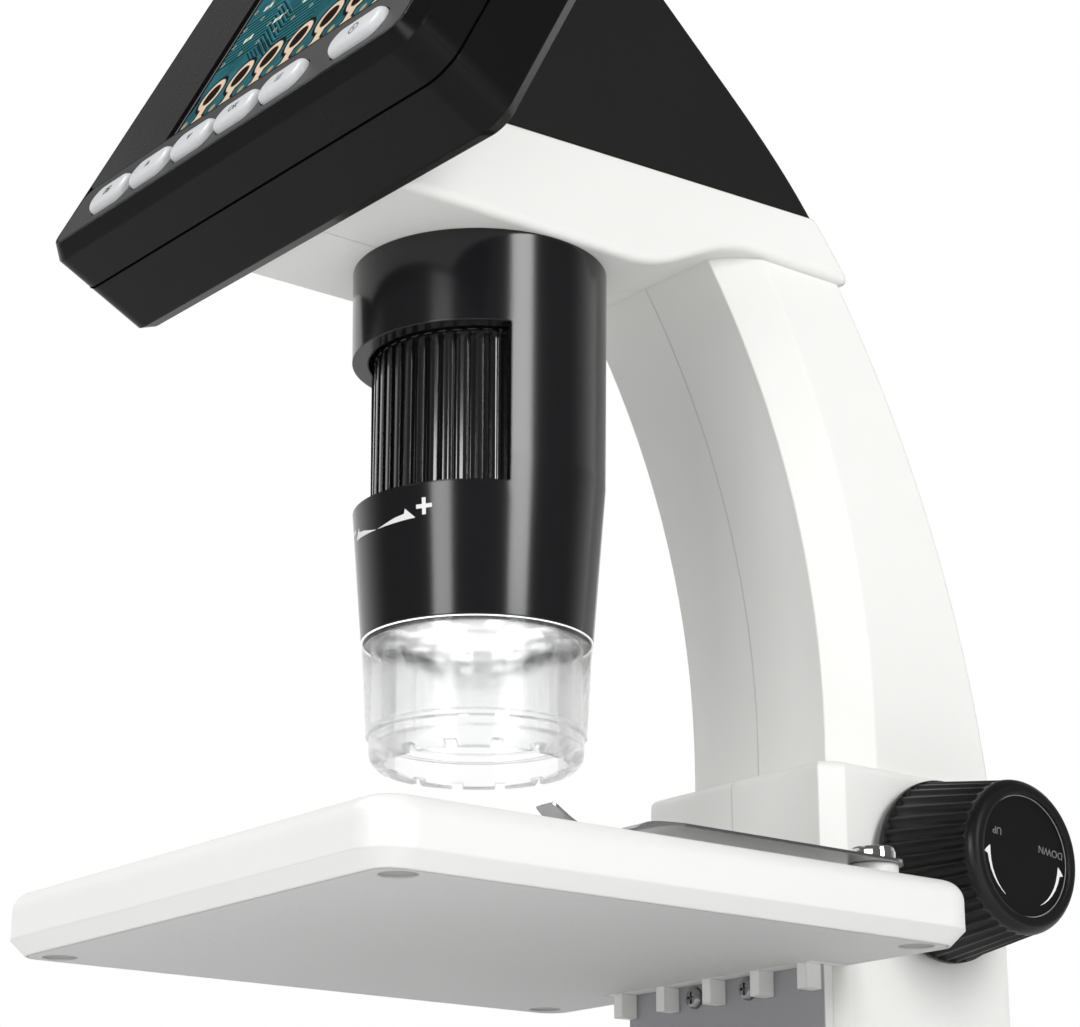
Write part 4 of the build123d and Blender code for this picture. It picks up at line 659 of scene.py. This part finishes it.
picture_frame = [
    bar(1.9, 0.22, 0, 0.62),
    bar(1.9, 0.22, 0, -0.62),
    bar(0.22, 1.4, -0.84),
    bar(0.22, 1.4, 0.84),
]
icons = {
    "mode": [*picture_frame, wedge(-pi / 2)],
    "up": [wedge(0)],
    "down": [wedge(pi)],
    "ok": [words("OK", 1.3, ICON_DEPTH)],
    "menu": [bar(1.7, 0.24, 0, 0.55), bar(1.7, 0.24), bar(1.7, 0.24, 0, -0.55)],
    "snap": [band(0.85, 1.1, ICON_DEPTH, 32), bar(0.5, 0.5)],
}
for key, (x, length) in KEYS.items():
    body = key + "_key"
    spot = on_face(x, KEY_UP)
    cap = put(key + "_key_cap", key_cap(length), spot, body, key_grey, True)
    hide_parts(key + "_button")
    spot = on_face(x, KEY_UP, KEY_PROUD + 0.02)
    put(key + "_key_mark", gather(icons[key]), spot, body, print_dark)


# ------------------------------------------------------------------- barrel marks
def barrel_radius(z):
    """Radius of the barrel's lower cone at a height."""
    return BARREL_END_RADIUS + (z - BARREL_END_Z) * BARREL_SPREAD


def wrap(shape):
    """Lays a shape drawn in degrees and height round the barrel's lower cone."""
    for vert in shape.verts:
        turn = radians(vert.co.x)
        reach = barrel_radius(vert.co.y) + vert.co.z
        vert.co = (reach * sin(turn), AXIS_Y - reach * cos(turn), vert.co.y)


def focus_arrow(side):
    """Blade that swells from its tail to a barbed head, in degrees and heights."""
    stations = [
        (1.0, 130.93, 130.99),
        (4.0, 130.94, 131.16),
        (7.0, 130.96, 131.38),
        (10.0, 130.99, 131.62),
        (12.5, 131.02, 131.80),
        (15.0, 131.06, 131.92),
        (17.6, 131.10, 132.04),
        (18.3, 131.11, 132.79),
        (21.0, 131.15, 131.98),
        (23.5, 131.19, 131.24),
    ]
    return blade([[(side * angle, low), (side * angle, high)] for angle, low, high in stations])


def focus_sign(side, bars):
    """Plus or minus beside the arrow head."""
    degrees_per_mm = 1 / radians(barrel_radius(MARK_Z))
    shape = plus_sign(1.28, 0.62, 2)
    if bars == 1:
        spare = [v for v in shape.verts if abs(v.co.y) > 0.32]
        bmesh.ops.delete(shape, geom=spare, context="VERTS")
    bmesh.ops.scale(shape, verts=shape.verts, vec=(degrees_per_mm, 1, 1))
    bmesh.ops.translate(shape, verts=shape.verts, vec=(side * 28.1, MARK_Z, 0))
    return shape


for name, shape in {
    "arrow_in": focus_arrow(1),
    "arrow_out": focus_arrow(-1),
    "plus_mark": focus_sign(1, 2),
    "minus_mark": focus_sign(-1, 1),
}.items():
    thicken(shape, PRINT_DEPTH)
    bmesh.ops.translate(shape, verts=shape.verts, vec=(0, 0, PRINT_LIFT))
    wrap(shape)
    put(name, shape, Matrix.Identity(4), "stand", print_white)


# --------------------------------------------------------------------- knob discs
def disc_arrow(side):
    """Curved, tapered arrow near the disc's edge, its barb on the outer side."""
    radius, start, sweep = 7.9, 29.6, 60.4
    stations = []
    for share, inner, outer in (
        (0.00, 0.02, 0.03),
        (0.12, 0.06, 0.08),
        (0.25, 0.11, 0.12),
        (0.40, 0.17, 0.16),
        (0.55, 0.23, 0.20),
        (0.70, 0.29, 0.23),
        (0.83, 0.34, 0.25),
        (0.87, 0.35, 0.95),
        (0.93, 0.34, 0.45),
        (1.00, 0.30, -0.28),
    ):
        angle = radians(90 - side * (start + share * sweep))
        pair = [(r * cos(angle), r * sin(angle)) for r in (radius - inner, radius + outer)]
        stations.append(pair)
    shape = blade(stations)
    thicken(shape, PRINT_DEPTH)
    return shape


for side, name in ((1, "right"), (-1, "left")):
    up = Vector((0, -sin(DISC_TURN), cos(DISC_TURN)))
    out = Vector((side, 0, 0))
    face = Matrix((up.cross(out), up, out)).transposed().to_4x4()
    face.translation = (side * (DISC_OUTER + PRINT_LIFT), KNOB_Y, KNOB_Z)
    ring = band(DISC_RADIUS - 0.22, DISC_RADIUS - 0.06, PRINT_DEPTH)
    arrows = gather([disc_arrow(1), disc_arrow(-1)])
    put(f"{name}_disc_ring", ring, face, "knob", print_silver)
    put(f"{name}_disc_arrows", arrows, face, "knob", print_white)
    for text, across_disc, up_disc in (("UP", 6.2, -2.6), ("DOWN", -5.8, -1.9)):
        spot = face @ Matrix.Translation((side * across_disc, up_disc, 0))
        letters = words(text, 1.15, PRINT_DEPTH)
        put(f"{name}_{text.lower()}", letters, spot, "knob", print_grey)

# ------------------------------------------------------------------------- screws
# Outlines of the heads: shares of the head's radius and height.
PAN_HEAD = ((0.62, 1.0), (0.84, 0.84), (0.96, 0.5), (1.0, 0.0))
CHEESE_HEAD = ((0.78, 1.0), (0.92, 0.95), (0.98, 0.82), (1.0, 0.6), (1.0, 0.0))
# Radius and height of the head, then radius of the shank.
JOINING_SCREW = (2.2, 1.5, 1.25)
CLIP_SCREW = (3.5, 2.0, 1.5)
BRACKET_SCREW = (1.75, 1.1, 1.0)


def cross_screw(head, height, shank, length, profile):
    """Screw along -Z from its seat, with a cross recess in its crown."""
    shape = plus_sign(head * 0.5, head * 0.24)
    bmesh.ops.subdivide_edges(shape, edges=open_edges(shape), cuts=2)
    bmesh.ops.translate(shape, verts=shape.verts, vec=(0, 0, height * 0.45))
    outline = [
        (None, height),
        *[(head * out, height * up) for out, up in profile],
        (shank, 0),
        (shank, shank * 0.5 - length),
        (shank * 0.4, -length),
    ]
    for radius, level in outline:
        grown = bmesh.ops.extrude_edge_only(shape, edges=open_edges(shape))
        for vert in new_points(grown):
            flat = Vector((vert.co.x, vert.co.y, 0))
            reach = radius if radius else flat.length * 1.12
            vert.co = flat.normalized() * reach + Vector((0, 0, level))
    bmesh.ops.holes_fill(shape, edges=open_edges(shape))
    return shape


def facing(point, direction):
    """Place at a point whose Z looks along a direction."""
    turn = Vector(direction).to_track_quat("Z", "Y").to_matrix().to_4x4()
    return Matrix.Translation(point) @ turn


def screw_set(node, places, kind, length, look=steel, body="stand", slot="steel", profile=PAN_HEAD):
    """Detailed screws in the place of the plain ones of a node."""
    shapes = []
    for place in places:
        shape = cross_screw(*kind, length, profile)
        shape.transform(place)
        shapes.append(shape)
    made = put(node + "_crossed", gather(shapes), Matrix.Identity(4), body, look)
    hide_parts(node)


arm_places = [
    facing(point, (-1, 0, 0))
    for point in (
        (-19.4, 63.5, 35),
        (-19.4, 63.0, 100.4),
        (-17.4, 46.3, 142.2),
        (-18.8, 23.5, 190.2),
        (-18.8, -39.5, 184.4),
    )
]
about = Matrix.Rotation(pi, 4, "X")
rear_places = [on_face(CASE_MID + x, up, -19.4) @ about for x in (-43, 43) for up in (13, 67)]
base_places = [facing((x, y, 2.4), (0, 0, -1)) for x in (-38, 38) for y in (-64, 64)]
clip_places = [Matrix.Translation((x, 23.5, 82.5)) for x in (-38.8, 38.8)]
bracket_places = [facing((x, BRACKET_FACE_Y, 68.0), (0, -1, 0)) for x in (-6.2, 6.2)]
on_stage = {"body": "stage", "slot": "chrome_metal"}
screw_set("stand_screws", arm_places, JOINING_SCREW, 24.0)
screw_set("display_screws", rear_places, JOINING_SCREW, 15.0)
screw_set("base_screws", base_places, JOINING_SCREW, 8.0)
screw_set("clip_screws", clip_places, CLIP_SCREW, 6.0, chrome, profile=CHEESE_HEAD, **on_stage)
# These screws wear chrome darkened as painted shade.
screw_set("bracket_screws", bracket_places, BRACKET_SCREW, 6.2, chrome_painted_shade, **on_stage)


# ---------------------------------------------------------- display's parting line
def outline_at(node, depth):
    """Edges round the outside of a node where a plane behind the screen face cuts it."""
    shape = bmesh.new()
    shape.from_mesh(nodes[node].data)
    shape.transform(FACE.inverted() @ Matrix.Scale(1 / MM, 4))
    bmesh.ops.remove_doubles(shape, verts=shape.verts, dist=1e-4)
    bmesh.ops.bisect_plane(
        shape,
        geom=shape.verts[:] + shape.edges[:] + shape.faces[:],
        dist=1e-5,
        plane_co=(0, 0, -depth),
        plane_no=(0, 0, 1),
        clear_inner=True,
        clear_outer=True,
    )
    inner = [e for e in shape.edges if not e.is_boundary and not e.is_wire]
    bmesh.ops.delete(shape, geom=inner, context="EDGES")
    outermost = max(shape.verts, key=lambda v: v.co.x)
    kept = {outermost}
    waiting = [outermost]
    while waiting:
        for edge in waiting.pop().link_edges:
            for vert in edge.verts:
                if vert not in kept:
                    kept.add(vert)
                    waiting.append(vert)
    bmesh.ops.delete(shape, geom=[v for v in shape.verts if v not in kept], context="VERTS")
    return shape


def parting_line(node):
    """Ribbon a hair proud of a housing, where its two halves meet."""
    line = outline_at(node, BEZEL_DEPTH - LINE_SECTION)
    bmesh.ops.translate(line, verts=line.verts, vec=(0, 0, LINE_WIDTH / 2 - LINE_SECTION))
    grown = bmesh.ops.extrude_edge_only(line, edges=line.edges[:])
    bmesh.ops.translate(line, verts=new_points(grown), vec=(0, 0, -LINE_WIDTH))
    centre = Vector((CASE_MID, CASE_MID_UP, 0))
    bmesh.ops.translate(line, verts=line.verts, vec=-centre)
    bmesh.ops.scale(line, verts=line.verts, vec=(LINE_GROWTH, LINE_GROWTH, 1))
    bmesh.ops.translate(line, verts=line.verts, vec=centre)
    return line


line = parting_line("display_bezel")
put("display_parting_line", line, FACE, "stand", line_black)

# ------------------------------------------------------------------ nose's rim, with painted glow
# A thin ring at the nose's end glows: painted glow of the LEDs' light in the clear nose.
rim = band(BARREL_END_RADIUS - 0.3, BARREL_END_RADIUS + 0.02, 0.16)
rim_place = Matrix.Translation((0, AXIS_Y, BARREL_END_Z - 0.02))
put("nose_rim_painted_glow", rim, rim_place, "stand", rim_painted_glow, True)

# ---------------------------------------------------------------- floor and light
bpy.ops.mesh.primitive_plane_add(size=6.0)
floor = bpy.context.object
floor.name = "floor"
floor.data.materials.append(Finish("floor", (0.92, 0.92, 0.92), 0.7).material)

world = bpy.data.worlds.new("studio")
bpy.context.scene.world = world
world.use_nodes = True
sky = world.node_tree
sky.nodes.clear()


def sky_node(kind, settings=None, values=()):
    """Adds a node of the studio's light and fills its sockets."""
    made = sky.nodes.new(kind)
    for label, value in (settings or {}).items():
        setattr(made, label, value)
    pairs = values.items() if isinstance(values, dict) else enumerate(values)
    for label, value in pairs:
        if isinstance(value, bpy.types.NodeSocket):
            sky.links.new(value, made.inputs[label])
        else:
            made.inputs[label].default_value = value
    return made


def sky_light(strength):
    """White light of a strength."""
    values = {"Color": WHITE, "Strength": strength}
    return sky_node("ShaderNodeBackground", {}, values).outputs[0]


def sky_maths(operation, *values):
    return sky_node("ShaderNodeMath", {"operation": operation}, values).outputs[0]


def sky_step(value, start, end, low, high):
    """Eases from a low to a high level as a value goes from a start to an end."""
    values = {"Value": value, "From Min": start, "From Max": end, "To Min": low, "To Max": high}
    return sky_node("ShaderNodeMapRange", {"interpolation_type": "SMOOTHSTEP"}, values).outputs[0]


# Surfaces mirror a white backdrop behind the object, which ends below a dim ceiling, and a
# dim room elsewhere. The camera sees white all round.
TO_BACKDROP = (-0.74, 0.59, 0.32)
DIM = 0.12
AROUND = 0.36
ray = sky_node("ShaderNodeLightPath").outputs
heading = sky_node("ShaderNodeTexCoord").outputs["Generated"]
dot = sky_node("ShaderNodeVectorMath", {"operation": "DOT_PRODUCT"}, [heading, TO_BACKDROP])
height = sky_node("ShaderNodeSeparateXYZ", {}, [heading]).outputs["Z"]
behind = sky_step(dot.outputs["Value"], 0.1, 0.75, 0.0, 1.0)
under_ceiling = sky_step(height, 0.42, 0.62, 1.0, 0.0)
bright = sky_maths("MULTIPLY", behind, under_ceiling)
backdrop = sky_maths("MULTIPLY_ADD", bright, 1 - DIM, DIM)
seen = sky_maths("MAXIMUM", ray["Is Camera Ray"], ray["Is Transmission Ray"])
sides = [ray["Is Glossy Ray"], sky_light(AROUND), sky_light(backdrop)]
room = sky_node("ShaderNodeMixShader", {}, sides).outputs[0]
whole = sky_node("ShaderNodeMixShader", {}, [seen, room, sky_light(1.0)]).outputs[0]
sky_node("ShaderNodeOutputWorld", {}, [whole])


def softbox(name, place, target, width, height, power):
    """A rectangular lamp that faces a point."""
    lamp = bpy.data.lights.new(name, "AREA")
    lamp.shape = "RECTANGLE"
    lamp.size = width
    lamp.size_y = height
    lamp.energy = power
    holder = bpy.data.objects.new(name, lamp)
    holder.location = place
    toward = Vector(target) - Vector(place)
    holder.rotation_euler = toward.to_track_quat("-Z", "Y").to_euler()
    bpy.context.scene.collection.objects.link(holder)


middle = (0.0, 0.0, 0.14)
softbox("right_box", (1.0, 0.0, 0.46), middle, 0.34, 0.50, 5.9)
softbox("front_box", (0.36, -1.02, 0.33), middle, 0.34, 0.36, 3.1)
softbox("floor_box", (-0.45, -0.6, 1.2), (-0.35, -0.4, 0.0), 0.5, 0.4, 9.0)

# ------------------------------------------------------------------------- camera
camera = bpy.data.objects.new("camera", bpy.data.cameras.new("camera"))
bpy.context.scene.collection.objects.link(camera)
camera.data.sensor_width = 36.0
camera.data.lens = 90.97
camera.data.clip_start = 0.01
camera.location = (0.3188, -0.2599, 0.0081)
camera.rotation_euler = Vector((-0.7464, 0.5900, 0.3079)).to_track_quat("-Z", "Y").to_euler()
bpy.context.scene.camera = camera
bpy.context.scene.view_settings.view_transform = "Standard"
